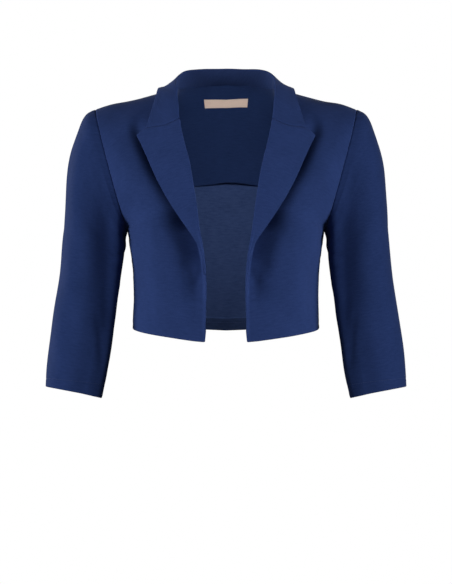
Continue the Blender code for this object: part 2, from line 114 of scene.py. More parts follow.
# Sections of half the back, from the centre line to the rim.
backSections = {
    "level": (0, 0.18, 0.32, 0.45, 0.572, 0.694, 0.801, 0.893),
    "centreY": (0.082, 0.077, 0.084, 0.093, 0.098, 0.098, 0.093, 0.083),
    "centreZ": (-0.369, -0.305, -0.258, -0.212, -0.172, -0.130, -0.085, -0.040),
    "centrePull": (0.45, 0.45, 0.46, 0.48, 0.48, 0.46, 0.44, 0.42),
    "rimTurn": (-92, -90, -90, -88, -68, -58, -48, -34),
    "rimPull": (0.38, 0.38, 0.37, 0.34, 0.28, 0.28, 0.28, 0.28),
}


# Armhole seam: an oval in the plane through the shoulder tip (turn 0) and the underarm (half a turn).
def armhole(turn):
    tip, under = np.array(bodyCut["shoulderTip"]), np.array(bodyCut["underarm"])
    points = (tip + under) / 2 + np.cos(turn)[..., None] * (tip - under) / 2
    depth = np.where(np.sin(turn) > 0, bodyCut["armholeFront"], bodyCut["armholeBack"])
    points[..., 1] -= depth * np.sin(turn)
    return points


# Outer edge of a front (way 1) or half the back (way -1): up the side seam, then round the armhole.
def rim(level, way):
    level = np.asarray(level, float)
    side = readTable(sideSeam, np.minimum(level, bodyCut["underarmLevel"]))
    turn = math.pi * (1 - level) / (1 - bodyCut["underarmLevel"])
    onSide = np.stack((side["x"], side["y"], side["z"]), axis=-1)
    return np.where((level < bodyCut["underarmLevel"])[..., None], onSide, armhole(way * turn))


# Control points of cubic curves in plan that leave their starts and meet their ends at angles from +X.
# The heights run evenly, and a bow lifts the middle.
def sectionControls(start, end, startTurn, startPull, endTurn, endPull, bow):
    reach = np.linalg.norm((end - start)[:, :2], axis=1)
    leave, meet = np.radians(startTurn), np.radians(endTurn)
    near, far = start.copy(), end.copy()
    near[:, :2] += (startPull * reach)[:, None] * np.stack((np.cos(leave), np.sin(leave)), axis=1)
    far[:, :2] -= (endPull * reach)[:, None] * np.stack((np.cos(meet), np.sin(meet)), axis=1)
    rise = end[:, 2] - start[:, 2]
    near[:, 2] = start[:, 2] + rise / 3 + 4 / 3 * bow
    far[:, 2] = start[:, 2] + 2 / 3 * rise + 4 / 3 * bow
    return np.stack((start, near, far, end))


# The four shares of a cubic curve's control points.
def cubicShares(u):
    return np.stack(((1 - u)**3, 3 * u * (1 - u)**2, 3 * u**2 * (1 - u), u**3), axis=-1)


front, back = ({name: np.array(values, float) for name, values in table.items()}
               for table in (frontSections, backSections))
frontStart = np.stack((front["edgeX"], front["edgeY"], front["edgeZ"]), axis=1)
frontControls = sectionControls(frontStart, rim(front["level"], 1), front["edgeTurn"], front["edgePull"],
                                front["rimTurn"], front["rimPull"], front["bow"])
backStart = np.stack((0 * back["level"], back["centreY"], back["centreZ"]), axis=1)
backControls = sectionControls(backStart, rim(back["level"], -1), 0 * back["level"], back["centrePull"],
                               back["rimTurn"], back["rimPull"], 0 * back["level"])


# Left front: its sections blended by level, with the outer edge drawn onto the rim by the cube of u.
def frontSurface(u, v):
    weights = splineWeights(front["level"], v)
    flatU = np.ravel(u)
    points = np.einsum("nj,nk,jkc->nc", cubicShares(flatU), weights, frontControls)
    points += (flatU**3)[:, None] * (rim(np.ravel(v), 1) - weights @ frontControls[3])
    return points.reshape(np.shape(u) + (3,))


# Top edge of half the back: a quarter oval round the neck, then straight along the shoulder.
def backTop(u):
    neck, tip = np.array(bodyCut["neckPoint"]), np.array(bodyCut["shoulderTip"])
    share = bodyCut["neckShare"]
    turn = math.pi / 2 * np.minimum(u / share, 1)
    roundNeck = np.stack((neck[0] * np.sin(turn), neck[1] + (bodyCut["backNeckY"] - neck[1]) * np.cos(turn),
                          bodyCut["backNeckZ"] * np.cos(turn)), axis=-1)
    return roundNeck + np.maximum((u - share) / (1 - share), 0)[..., None] * (tip - neck)


# A line close below the back's top edge: the top edge moved back and down.
def backRidge(u):
    shares = (0, bodyCut["neckShare"])
    behind = np.interp(u, shares, (bodyCut["napeBack"], bodyCut["shoulderBack"]))
    below = np.interp(u, shares, (bodyCut["napeDrop"], bodyCut["shoulderDrop"]))
    return backTop(u) + np.stack((0 * u, behind, -below), axis=-1)


# Back: u from -1 to 1 across it; the sections, the ridge line and the top edge blended by level.
def backSurface(u, v):
    weights = splineWeights(np.append(back["level"], (bodyCut["ridgeLevel"], 1)), v)
    half = np.abs(np.ravel(u))
    points = np.einsum("nj,nk,jkc->nc", cubicShares(half), weights[:, :-2], backControls)
    points += weights[:, -2:-1] * backRidge(half) + weights[:, -1:] * backTop(half)
    edge = np.ones(1)
    ends = np.concatenate((backControls[3], backRidge(edge), backTop(edge)))
    points += (half**3)[:, None] * (rim(np.ravel(v), -1) - weights @ ends)
    points[:, 0] *= np.where(np.ravel(u) < 0, -1, 1)
    return points.reshape(np.shape(u) + (3,))


slopeStep = 0.002  # share of a surface over which its slope is taken


# Points of a surface moved out along its normal, the cross product of its two slopes.
def movedOut(surface, u, v, height, outward=1):
    slopeU = surface(u + slopeStep, v) - surface(u - slopeStep, v)
    slopeV = surface(u, v + slopeStep) - surface(u, v - slopeStep)
    return surface(u, v) + outward * unit(np.cross(slopeU, slopeV)) * np.asarray(height)[..., None]


# The shoulder's end stands a little high: a lift that falls off as a bell curve about a place on each side.
shoulderEnd = {"place": (0.176, 0.005, -0.029), "reach": 0.024, "lift": 0.0032}


def liftShoulder(points):
    away = np.abs(points) * np.array((1, 0, 0)) + points * np.array((0, 1, 1)) - shoulderEnd["place"]
    lift = shoulderEnd["lift"] * np.exp(-np.sum(away**2, axis=-1) / shoulderEnd["reach"]**2)
    return points + lift[..., None] * np.array((0, 0, 1))


# A grid closed into a tube by its first column again.
def closedRound(grid):
    return np.concatenate((grid, grid[:, :1]), axis=1)


# The four corners of each cell of a grid, in turn.
def cellCorners(grid):
    return np.stack((grid[:-1, :-1], grid[:-1, 1:], grid[1:, 1:], grid[1:, :-1]), axis=2)


# Unit normals of a grid of points: the cross product of its two gradients.
def gridNormals(points, closed=False):
    if closed:
        across = np.roll(points, -1, axis=1) - np.roll(points, 1, axis=1)
    else:
        across = np.gradient(points, axis=1)
    return unit(np.cross(across, np.gradient(points, axis=0)))


# A grid of points raised along its normals by a relief.
def raised(points, relief, closed=False):
    return points + gridNormals(points, closed) * relief[..., None]


# The same grid on the wearer's other side, its faces still turned outwards.
otherSide = np.array((-1, 1, 1))


def mirrored(points):
    return points[:, ::-1] * otherSide


# Distance of each grid point from the four edges, along the grid's own lines.
def edgeDistances(points):
    across = np.linalg.norm(np.diff(points, axis=1), axis=2)
    along = np.linalg.norm(np.diff(points, axis=0), axis=2)
    first = np.concatenate((np.zeros((len(points), 1)), np.cumsum(across, axis=1)), axis=1)
    foot = np.concatenate((np.zeros((1, points.shape[1])), np.cumsum(along, axis=0)))
    return {"first": first, "last": first[:, -1:] - first, "foot": foot, "head": foot[-1] - foot}


# Smooth fall from 1 at an edge to 0 at a given distance from it.
def edgeFall(distance, reach):
    return np.clip(1 - distance / reach, 0, 1)**2


# Step from 1 near an edge to 0 beyond a given distance from it, softened over a short way.
def edgeStep(distance, width, soft):
    steps = np.clip((distance - width) / soft, -40, 40)  # within what an exponential can take
    return 1 / (1 + np.exp(steps))


# Seams, hems and walls that the pieces share, in metres.
sewing = {
    "wall": 0.0015, "seamInset": 0.0003, "freeInset": 0.0007, "insetReach": 0.007, "seamRound": 0.3,
    "rimSteps": 3,
    "hemDepth": 0.018, "hemWall": 0.0014, "hemSoft": 0.0005,
    "feltEdge": (0.0003, 0.007, 0.0006),  # height, width and softness of the allowance felt along an edge
    "calmReach": 0.03,  # from a seam to where the cloth's waves are full
    "puckerLengths": (0.0085, 0.0132, 0.0217), "puckerSpread": 0.08,
}
# Depth and reach of grooves where cloth turns in to a seam, and depth and half width of stitched lines.
grooves = {
    "seam": (0.00025, 0.0030), "armhole": (0.0008, 0.0022), "gorge": (0.0004, 0.0030),
    "collar foot": (0.0008, 0.0034), "facing head": (0.0008, 0.006),
}
stitchedLines = {
    "front hem": (0.00012, 0.0014), "back hem": (0.0003, 0.0012), "sleeve hem": (0.0003, 0.0013),
    "under the arm": (0.0009, 0.0022),
}


# Groove beside a seam: its depth falls off smoothly over its reach.
def groove(kind, distance):
    depth, reach = grooves[kind]
    return depth * edgeFall(distance, reach)


# Line stitched through the cloth: a bell curve across it.
def stitchedLine(kind, aside):
    depth, halfWidth = stitchedLines[kind]
    return depth * np.exp(-(aside / halfWidth)**2)


# Seam allowance felt along a turned edge: a low step.
def feltEdge(distance):
    height, width, soft = sewing["feltEdge"]
    return height * edgeStep(distance, width, soft)


# Inner wall of a hemmed piece: thicker where the hem is turned up.
def hemmedWall(distance):
    return sewing["wall"] + sewing["hemWall"] * edgeStep(distance, sewing["hemDepth"], sewing["hemSoft"])


# The four edges of a grid, and the lines a little inside them.
gridEdges = {"foot": np.s_[:1], "head": np.s_[-1:], "first": np.s_[:, :1], "last": np.s_[:, -1:]}
linesInside = {"foot": np.s_[4:5], "head": np.s_[-5:-4], "first": np.s_[:, 4:5], "last": np.s_[:, -5:-4]}


# Draws sewn and free edges of a grid inwards along the cloth, each by its inset, fading out over a reach.
def drawIn(points, sewn, free, reach=sewing["insetReach"]):
    distance = edgeDistances(points)
    drawn = points.copy()
    for name in sewn + free:
        inward = unit(points[linesInside[name]] - points[gridEdges[name]])
        inset = sewing["seamInset" if name in sewn else "freeInset"]
        drawn += inward * (inset * edgeFall(distance[name], reach))[..., None]
    return drawn


# Creases: each is a soft trough or ridge about a bowed line on the piece. Its height falls off as a bell
# curve across, wider on one side where it leans, and as a fourth power towards its two ends.
def creaseRelief(creases, u, v, scale):
    relief = np.zeros(np.shape(u))
    x, y = u * scale[0], v * scale[1]
    for fromU, fromV, toU, toV, bow, halfWidth, height, lean in creases:
        startX, startY = fromU * scale[0], fromV * scale[1]
        runX, runY = toU * scale[0] - startX, toV * scale[1] - startY
        length = math.hypot(runX, runY)
        share = np.clip(((x - startX) * runX + (y - startY) * runY) / length**2, 0, 1)
        fade = 1 - (2 * share - 1)**4
        aside = ((x - startX) * runY - (y - startY) * runX) / length - bow * (1 - (2 * share - 1)**2)
        width = halfWidth * (1 + lean * np.sign(aside))
        relief += height * fade * np.exp(-(aside / width)**2)
    return relief


# Slight unevenness of hung cloth: a few long waves crossing at seeded angles. Waves give the height, the
# shortest and the longest.
def softWaves(x, y, waves, seed, count=7):
    height, shortest, longest = waves
    draw = np.random.default_rng(seed)
    relief = np.zeros(np.shape(x))
    for length in np.linspace(shortest, longest, count):
        angle, phase = draw.uniform(0, 2 * math.pi, 2)
        relief += np.sin(2 * math.pi * (x * math.cos(angle) + y * math.sin(angle)) / length + phase)
    return relief * height / math.sqrt(count)


# Puckers along a seam, by height and reach: waves of unlike length along it, dying away from it.
def seamPuckers(along, distance, puckers, seed):
    height, reach = puckers
    spread = sewing["puckerSpread"]
    draw = np.random.default_rng(seed)
    relief = np.zeros(np.shape(along))
    for length in sewing["puckerLengths"]:
        stretch, phase = draw.uniform(1 - spread, 1 + spread), draw.uniform(0, 2 * math.pi)
        relief += np.sin(2 * math.pi * along / length * stretch + phase)
    return relief / len(sewing["puckerLengths"]) * height * np.exp(-(distance / reach)**1.5)


# Place of each grid point on the flat cloth, in metres: the lengths along its own lines, or along the axis
# of a tube.
def clothPlaces(points, closed=False):
    if closed:
        points = closedRound(points)
    distance = edgeDistances(points)
    lengthwise = distance["foot"]
    if closed:
        lengthwise = points @ unit(points[-1].mean(axis=0) - points[0].mean(axis=0))
    middle = points.shape[1] // 2
    return np.stack((distance["first"] - distance["first"][:, middle:middle + 1], lengthwise), axis=2)


# Closed shell of cloth from a grid on its outside: the inner side is the grid moved in by the wall, and
# rims join them, half round on free edges and flatter on the named seams. A patch of the outer or the inner
# side takes the third finish.
def makeShell(name, outer, wall, finishes, seams=(), closed=False, patch=None):
    rows, columns = outer.shape[:2]
    normal = gridNormals(outer, closed)
    inner = outer - normal * np.broadcast_to(wall, (rows, columns))[..., None]
    number = np.arange(rows * columns).reshape(rows, columns)
    quads = cellCorners(closedRound(number) if closed else number)
    if closed:
        loops = [number[0], number[-1, ::-1]]
    else:
        loops = [np.concatenate((number[0, :-1], number[:-1, -1], number[-1, :0:-1], number[:0:-1, 0]))]
    roundness = np.ones((rows, columns, 1))
    for seam in seams:
        roundness[gridEdges[seam]] = sewing["seamRound"]
    flatOuter, flatInner, flatNormal = (grid.reshape(-1, 3) for grid in (outer, inner, normal))
    below, count = rows * columns, 2 * rows * columns
    vertices = [flatOuter, flatInner]
    faces = [quads.reshape(-1, 4), quads[..., ::-1].reshape(-1, 4) + below]
    place = clothPlaces(outer, closed)
    quadPlace, flatPlace = cellCorners(place), place[:, :columns].reshape(-1, 2)
    cornerPlaces = [quadPlace.reshape(-1, 2), quadPlace[:, :, ::-1].reshape(-1, 2)]
    rimSteps = sewing["rimSteps"]
    for loop in loops:
        middle, half = (flatOuter[loop] + flatInner[loop]) / 2, (flatOuter[loop] - flatInner[loop]) / 2
        run = np.roll(flatOuter[loop], -1, axis=0) - np.roll(flatOuter[loop], 1, axis=0)
        bulge = roundness.reshape(-1, 1)[loop] * np.linalg.norm(half, axis=1, keepdims=True)
        outward = bulge * unit(np.cross(run, flatNormal[loop]))
        rings = [loop]
        for turn in math.pi * np.arange(1, rimSteps + 1) / (rimSteps + 1):
            vertices.append(middle + math.cos(turn) * half + math.sin(turn) * outward)
            rings.append(count + np.arange(len(loop)))
            count += len(loop)
        rings.append(loop + below)
        here, there = flatPlace[loop], np.roll(flatPlace[loop], -1, axis=0)
        for upper, lower in zip(rings[:-1], rings[1:]):
            faces.append(np.stack((upper, lower, np.roll(lower, -1), np.roll(upper, -1)), axis=1))
            cornerPlaces.append(np.stack((here, here, there, there), axis=1).reshape(-1, 2))
    sideFinish = {"outer": np.zeros(quads.shape[:2], np.int32), "inner": np.ones(quads.shape[:2], np.int32)}
    if patch is not None:
        side, inPatch = patch
        sideFinish[side][inPatch[:-1, :quads.shape[1]]] = 2
    rimFinish = np.zeros(sum(len(ring) for ring in faces[2:]), np.int32)
    faceFinish = np.concatenate([sideFinish["outer"].ravel(), sideFinish["inner"].ravel(), rimFinish])
    return makeMesh(name, np.concatenate(vertices), np.concatenate(faces), finishes, faceFinish,
                    np.concatenate(cornerPlaces))


# Mesh object at the origin from whole arrays, with its place on the cloth as a UV map.
def makeMesh(name, vertices, quads, finishes, faceFinish=None, cornerPlaces=None):
    mesh = bpy.data.meshes.new(name)
    mesh.vertices.add(len(vertices))
    mesh.vertices.foreach_set("co", vertices.astype(np.float32).ravel())
    mesh.loops.add(quads.size)
    mesh.loops.foreach_set("vertex_index", quads.astype(np.int32).ravel())
    mesh.polygons.add(len(quads))
    mesh.polygons.foreach_set("loop_start", np.arange(0, quads.size, quads.shape[1], dtype=np.int32))
    for finish in finishes:
        mesh.materials.append(finish)
    if faceFinish is not None:
        mesh.polygons.foreach_set("material_index", faceFinish)
    mesh.update(calc_edges=True)
    mesh.polygons.foreach_set("use_smooth", np.ones(len(quads), bool))
    if cornerPlaces is not None:
        layer = mesh.uv_layers.new(name="cloth")
        layer.data.foreach_set("uv", cornerPlaces.astype(np.float32).ravel())
    mesh.validate()
    piece = bpy.data.objects.new(name, mesh)
    bpy.context.scene.collection.objects.link(piece)
    return piece


# Puts a piece of cloth on the root body and hides the part of the cut it stands for.
def declareCloth(piece, node):
    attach(piece, "root")
    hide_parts(node)


# A shader node with its values set, by its own properties or its inputs' names.
def addNode(tree, kind, **values):
    node = tree.nodes.new(kind)
    for name, value in values.items():
        if hasattr(node, name):
            setattr(node, name, value)
        else:
            node.inputs[name.replace("_", " ")].default_value = value
    return node


# Links between shader nodes, each a node with its output and a node with its input.
def linkNodes(tree, *links):
    for source, output, target, socket in links:
        tree.links.new(source.outputs[output], target.inputs[socket])


# Crepe grain, shared by every cloth here: twisted yarns as noise stretched along the weft, slubs as longer
# streaks and a cloudy tone. Place is the cloth's own metres, Tone is about 0.5, Height is the yarns' relief.
# Each noise has a stretch, a scale, which the cloth's look sets for the yarns, and a detail.
grainPattern = {
    "yarns": ((0.45, 1, 1), 1.0, 2.0), "slubs": ((0.22, 1, 1), 420.0, 2.0), "clouds": ((1, 1, 1), 22.0, 1.0),
    "roughness": 0.55,
}


def makeCrepeGrain(pattern):
    tree = bpy.data.node_groups.new("crepe grain", "ShaderNodeTree")
    newSocket = tree.interface.new_socket
    newSocket("Place", in_out="INPUT", socket_type="NodeSocketVector")
    for name, value in (("Yarns", 1300.0), ("Slub", 0.5), ("Cloud", 0.3)):
        newSocket(name, in_out="INPUT", socket_type="NodeSocketFloat").default_value = value
    for name in ("Tone", "Height"):
        newSocket(name, in_out="OUTPUT", socket_type="NodeSocketFloat")
    start, end = tree.nodes.new("NodeGroupInput"), tree.nodes.new("NodeGroupOutput")

    # Noise over the cloth's place, stretched.
    def grain(stretch, scale, detail):
        mapping = addNode(tree, "ShaderNodeMapping", Scale=stretch)
        noise = addNode(tree, "ShaderNodeTexNoise", Scale=scale, Detail=detail,
                        Roughness=pattern["roughness"])
        linkNodes(tree, (start, "Place", mapping, "Vector"), (mapping, "Vector", noise, "Vector"))
        return noise

    yarns, slubs, clouds = (grain(*pattern[kind]) for kind in ("yarns", "slubs", "clouds"))
    streaks, tone = (addNode(tree, "ShaderNodeMix", data_type="FLOAT") for _ in range(2))
    linkNodes(tree, (start, "Yarns", yarns, "Scale"),
              (start, "Slub", streaks, 0), (yarns, "Fac", streaks, 2), (slubs, "Fac", streaks, 3),
              (start, "Cloud", tone, 0), (streaks, 0, tone, 2), (clouds, "Fac", tone, 3),
              (tone, 0, end, "Tone"), (streaks, 0, end, "Height"))
    return tree


# A cloth's finish: the grain's tone picks between two colours, its relief tilts the light, and a sheen
# brightens it at a glancing look.
def clothFinish(name, look):
    material = bpy.data.materials.new(name)
    material.use_nodes = True
    tree = material.node_tree
    shader = tree.nodes["Principled BSDF"]
    place = addNode(tree, "ShaderNodeUVMap", uv_map="cloth")
    grain = addNode(tree, "ShaderNodeGroup", node_tree=crepeGrain)
    for socket in ("Yarns", "Slub", "Cloud"):
        grain.inputs[socket].default_value = look[socket.lower()]
    tone = addNode(tree, "ShaderNodeMapRange", From_Min=look["toneRange"][0], From_Max=look["toneRange"][1])
    colour = addNode(tree, "ShaderNodeMix", data_type="RGBA")
    colour.inputs[6].default_value = (*look["dark"], 1)
    colour.inputs[7].default_value = (*look["light"], 1)
    bump = addNode(tree, "ShaderNodeBump", Strength=look["bump"], Distance=look["relief"])
    linkNodes(tree, (place, "UV", grain, "Place"), (grain, "Tone", tone, "Value"),
              (tone, "Result", colour, 0), (colour, 2, shader, "Base Color"),
              (grain, "Height", bump, "Height"), (bump, "Normal", shader, "Normal"))
    for socket, value in (("Roughness", "roughness"), ("Specular IOR Level", "specular"),
                          ("Sheen Weight", "sheen"), ("Sheen Roughness", "sheenRoughness")):
        shader.inputs[socket].default_value = look[value]
    shader.inputs["Sheen Tint"].default_value = (*look["sheenTint"], 1)
    return material


crepeGrain = makeCrepeGrain(grainPattern)
crepeLook = {
    "dark": (0.0130, 0.0300, 0.1100), "light": (0.0215, 0.0440, 0.1560), "toneRange": (0.36, 0.64),
    "yarns": 1300.0, "slub": 0.45, "cloud": 0.20, "bump": 0.35, "relief": 0.0004,
    "roughness": 0.90, "specular": 0.10, "sheen": 0.05, "sheenRoughness": 0.45,
    "sheenTint": (0.60, 0.68, 0.90),
}
wrongSideLook = {
    **crepeLook, "dark": (0.0220, 0.0412, 0.1145), "light": (0.0368, 0.0635, 0.1675),
    "slub": 0.55, "sheen": 0.08,
}
# Inside of the hem bands: a greyish cloth tone, made darker as painted shade at the bottom.
turnedHemShadeLook = {
    **crepeLook, "dark": (0.0142, 0.0262, 0.0715), "light": (0.0233, 0.0403, 0.1045), "slub": 0.55,
}
# Facing: the same crepe made darker, painted shade inside the back neck.
facingShadeLook = {
    **crepeLook, "dark": (0.0075, 0.0185, 0.0660), "light": (0.0120, 0.0270, 0.0900), "sheen": 0.04,
}
# Inside of the collar stand: the same crepe made darker, painted shade inside the neck.
collarInsideShadeLook = {**crepeLook, "dark": (0.0120, 0.0246, 0.0850), "light": (0.0185, 0.0362, 0.1160)}
labelLook = {
    "dark": (0.63, 0.47, 0.39), "light": (0.75, 0.58, 0.48), "toneRange": (0.3, 0.7),
    "yarns": 2600.0, "slub": 0.30, "cloud": 0.10, "bump": 0.20, "relief": 0.0002,
    "roughness": 0.45, "specular": 0.50, "sheen": 0.10, "sheenRoughness": 0.30,
    "sheenTint": (1.0, 0.95, 0.90),
}
threadLook = {
    **crepeLook, "dark": (0.0230, 0.0430, 0.1350), "light": (0.0330, 0.0580, 0.1700), "yarns": 4000.0,
    "roughness": 0.55, "specular": 0.40,
}
beigeThreadLook = {**labelLook, "light": (0.60, 0.50, 0.43), "yarns": 4000.0}
crepe = clothFinish("crepe right side", crepeLook)
wrongSide = clothFinish("crepe wrong side", wrongSideLook)
turnedHemShade = clothFinish("turned-up hem painted shade", turnedHemShadeLook)
facingShadeCloth = clothFinish("facing cloth painted shade", facingShadeLook)
collarInsideShade = clothFinish("collar inside painted shade", collarInsideShadeLook)
labelSatin = clothFinish("label satin", labelLook)
navyThread = clothFinish("navy thread", threadLook)
beigeThread = clothFinish("beige thread", beigeThreadLook)
print("finishes made")


# Cloth with its hem turned up inside, from a grid and the distance of its points from the hem. The inside of
# the hem band takes a greyish tone made darker as painted shade.
def makeHemmed(name, points, hemDistance, seams, closed=False):
    return makeShell(name, points, hemmedWall(hemDistance), (crepe, wrongSide, turnedHemShade), seams, closed,
                     patch=("inner", hemDistance < sewing["hemDepth"]))


# Fronts: creases give u, v at the start and the end, sideways bow, half width, height and lean.
frontPiece = {
    "rows": 176, "columns": 96, "crowding": 0.6, "scale": (0.17, 0.40), "waves": (0.0005, 0.05, 0.12),
    "puckers": (0.00035, 0.012), "edgeHold": 0.006, "seeds": (11, 12), "flat": (0.20, 0.43), "area": 0.060,
    "creases": (
        (0.06, 0.57, 0.024, 0.29, 0.003, 0.021, -0.0075, -0.6),  # long trough below the lapel
        (0.06, 0.58, 0.01, 0.15, 0.003, 0.020, -0.0105, -0.66),  # and its lower end beside the edge
        (0.11, 0.335, 0.08, 0, 0, 0.0195, -0.0058, -0.2),  # its soft lower end
        (0.50, 0.90, 0.03, 0.46, 0, 0.016, -0.0098, 0),  # chest falls in under the lapel's edge
        (0.52, 0.50, 0.42, 0.06, 0.010, 0.028, 0.0016, 0),  # full part beside the trough
        (0.015, 0.30, 0.08, 0.21, 0.001, 0.005, -0.0012, 0),  # dimple where the lapel breaks
        (0.99, 0.43, 0.70, 0.37, 0.003, 0.009, -0.0015, 0.3),  # drags from the underarm
        (0.97, 0.52, 0.62, 0.50, -0.004, 0.012, -0.0018, 0.2),
        (0.905, 0.475, 0.90, 0.415, 0, 0.0035, -0.0010, 0),
        (0.70, 0.30, 0.62, 0.03, -0.004, 0.020, -0.0016, 0),  # slack above the hem
        (0.86, 0.26, 0.84, 0.02, 0.003, 0.016, 0.0014, 0),
        (0.72, 0.93, 0.60, 0.72, 0.004, 0.020, -0.0010, 0),  # hollow of the shoulder
    ),
}


# Left front: its surface raised by creases, waves and puckers, less its grooves, and its hem's distances.
def frontGrid(piece, seed):
    across, levels = crowdedLines(piece["columns"]), crowdedLines(piece["rows"], piece["crowding"])
    u, v = np.meshgrid(across, levels)
    points = frontSurface(u, v)
    distance = edgeDistances(points)
    first, last, foot = distance["first"], distance["last"], distance["foot"]
    relief = creaseRelief(piece["creases"], u, v, piece["scale"]) * (1 - edgeFall(first, piece["edgeHold"]))
    relief += softWaves(first, foot, piece["waves"], seed) * np.clip(last / sewing["calmReach"], 0, 1)
    relief += seamPuckers(foot, last, piece["puckers"], seed + 1)
    relief -= groove("seam", last) + groove("seam", distance["head"])
    relief -= groove("armhole", last) * (v > bodyCut["underarmLevel"])
    relief -= stitchedLine("front hem", foot - sewing["hemDepth"])
    return liftShoulder(drawIn(raised(points, relief), ("last", "head"), ("first", "foot"))), foot


(leftFront, frontHem), (rightFront, _) = (frontGrid(frontPiece, seed) for seed in frontPiece["seeds"])
for side, points, hemDistance, sewnEdge in (("left", leftFront, frontHem, "last"),
                                            ("right", mirrored(rightFront), frontHem[:, ::-1], "first")):
    piece = makeHemmed("front_" + side + "_cloth", points, hemDistance, (sewnEdge, "head"))
    declareCloth(piece, "front_" + side)
print("fronts made")

# Back: plain outside, with soft folds from the shoulder blades, at the waist and from the armholes.
backPiece = {
    "rows": 180, "columns": 176, "crowding": 0.6, "scale": (0.18, 0.39), "waves": (0.0005, 0.06, 0.14),
    "puckers": (0.00035, 0.012), "seed": 21, "flat": (0.40, 0.40), "area": 0.148,
    "creases": (
        (0.54, 0.68, 0.44, 0.02, 0.006, 0.021, -0.0058, 0.2),
        (-0.50, 0.64, -0.46, -0.02, -0.005, 0.023, -0.0050, -0.2),
        (0.70, 0.54, 0.66, -0.02, -0.004, 0.018, 0.0042, 0),
        (-0.67, 0.57, -0.68, 0, 0.004, 0.017, 0.0038, 0),
        (-0.80, 0.30, -0.42, 0.22, 0.004, 0.011, -0.0026, 0.2),
        (0.82, 0.33, 0.46, 0.24, -0.003, 0.012, -0.0027, -0.1),
        (0.76, 0.20, 0.50, 0.15, 0.003, 0.009, -0.0019, 0.2),
        (0.98, 0.47, 0.68, 0.40, 0.003, 0.010, -0.0030, 0.3),
        (-0.98, 0.46, -0.72, 0.36, -0.003, 0.010, -0.0027, 0.3),
        (0.97, 0.58, 0.62, 0.62, 0.005, 0.012, -0.0030, 0),
        (-0.97, 0.60, -0.60, 0.58, -0.004, 0.013, -0.0032, 0),
        (0.62, 0.90, 0.40, 0.76, 0, 0.020, -0.0020, 0),
        (-0.58, 0.89, -0.42, 0.78, 0, 0.018, -0.0017, 0),
    ),
}


# Back: its surface raised by creases, waves and puckers, less its grooves, and its hem's distances.
def backGrid(piece):
    across, levels = crowdedLines(piece["columns"]), crowdedLines(piece["rows"], piece["crowding"])
    u, v = np.meshgrid(1 - 2 * across, levels)
    points = backSurface(u, v)
    distance = edgeDistances(points)
    sides, foot = np.minimum(distance["first"], distance["last"]), distance["foot"]
    waves = softWaves(distance["first"], foot, piece["waves"], piece["seed"])
    relief = creaseRelief(piece["creases"], u, v, piece["scale"])
    relief += waves * np.clip(sides / sewing["calmReach"], 0, 1)
    relief += seamPuckers(foot, sides, piece["puckers"], piece["seed"] + 1)
    relief -= groove("seam", sides) + groove("seam", distance["head"])
    relief -= stitchedLine("back hem", foot - sewing["hemDepth"])
    return liftShoulder(drawIn(raised(points, relief), ("first", "last", "head"), ("foot",))), foot


backPoints, backHem = backGrid(backPiece)
piece = makeHemmed("back_cloth", backPoints, backHem, ("first", "last", "head"))
declareCloth(piece, "back_panel")
print("back made")

# Sleeves: rings by their outermost and innermost point, depth before and behind the middle, rise in front.
sleeveRings = {
    "along": (0, 0.05, 0.14, 0.26, 0.40, 0.56, 0.72, 0.86, 1),
    "outX": (0.195, 0.207, 0.2205, 0.2325, 0.2405, 0.2435, 0.2505, 0.2605, 0.2685),
    "outZ": (-0.034, -0.0385, -0.063, -0.099, -0.159, -0.240, -0.310, -0.375, -0.446),
    "inX": (0.1492, 0.1515, 0.1525, 0.1525, 0.1530, 0.1550, 0.1630, 0.1715, 0.1835),
    "inZ": (-0.212, -0.221, -0.230, -0.236, -0.242, -0.262, -0.322, -0.388, -0.462),
    "middleY": (0.004, 0.004, 0.004, 0.004, 0.003, 0.001, -0.004, -0.009, -0.014),
    "front": (0.057, 0.0575, 0.0585, 0.059, 0.0585, 0.057, 0.054, 0.050, 0.047),
    "back": (0.058, 0.060, 0.061, 0.060, 0.058, 0.057, 0.054, 0.050, 0.047),
    "rise": (0, 0, 0, 0, 0, 0, 0.002, 0.004, 0.006),
}
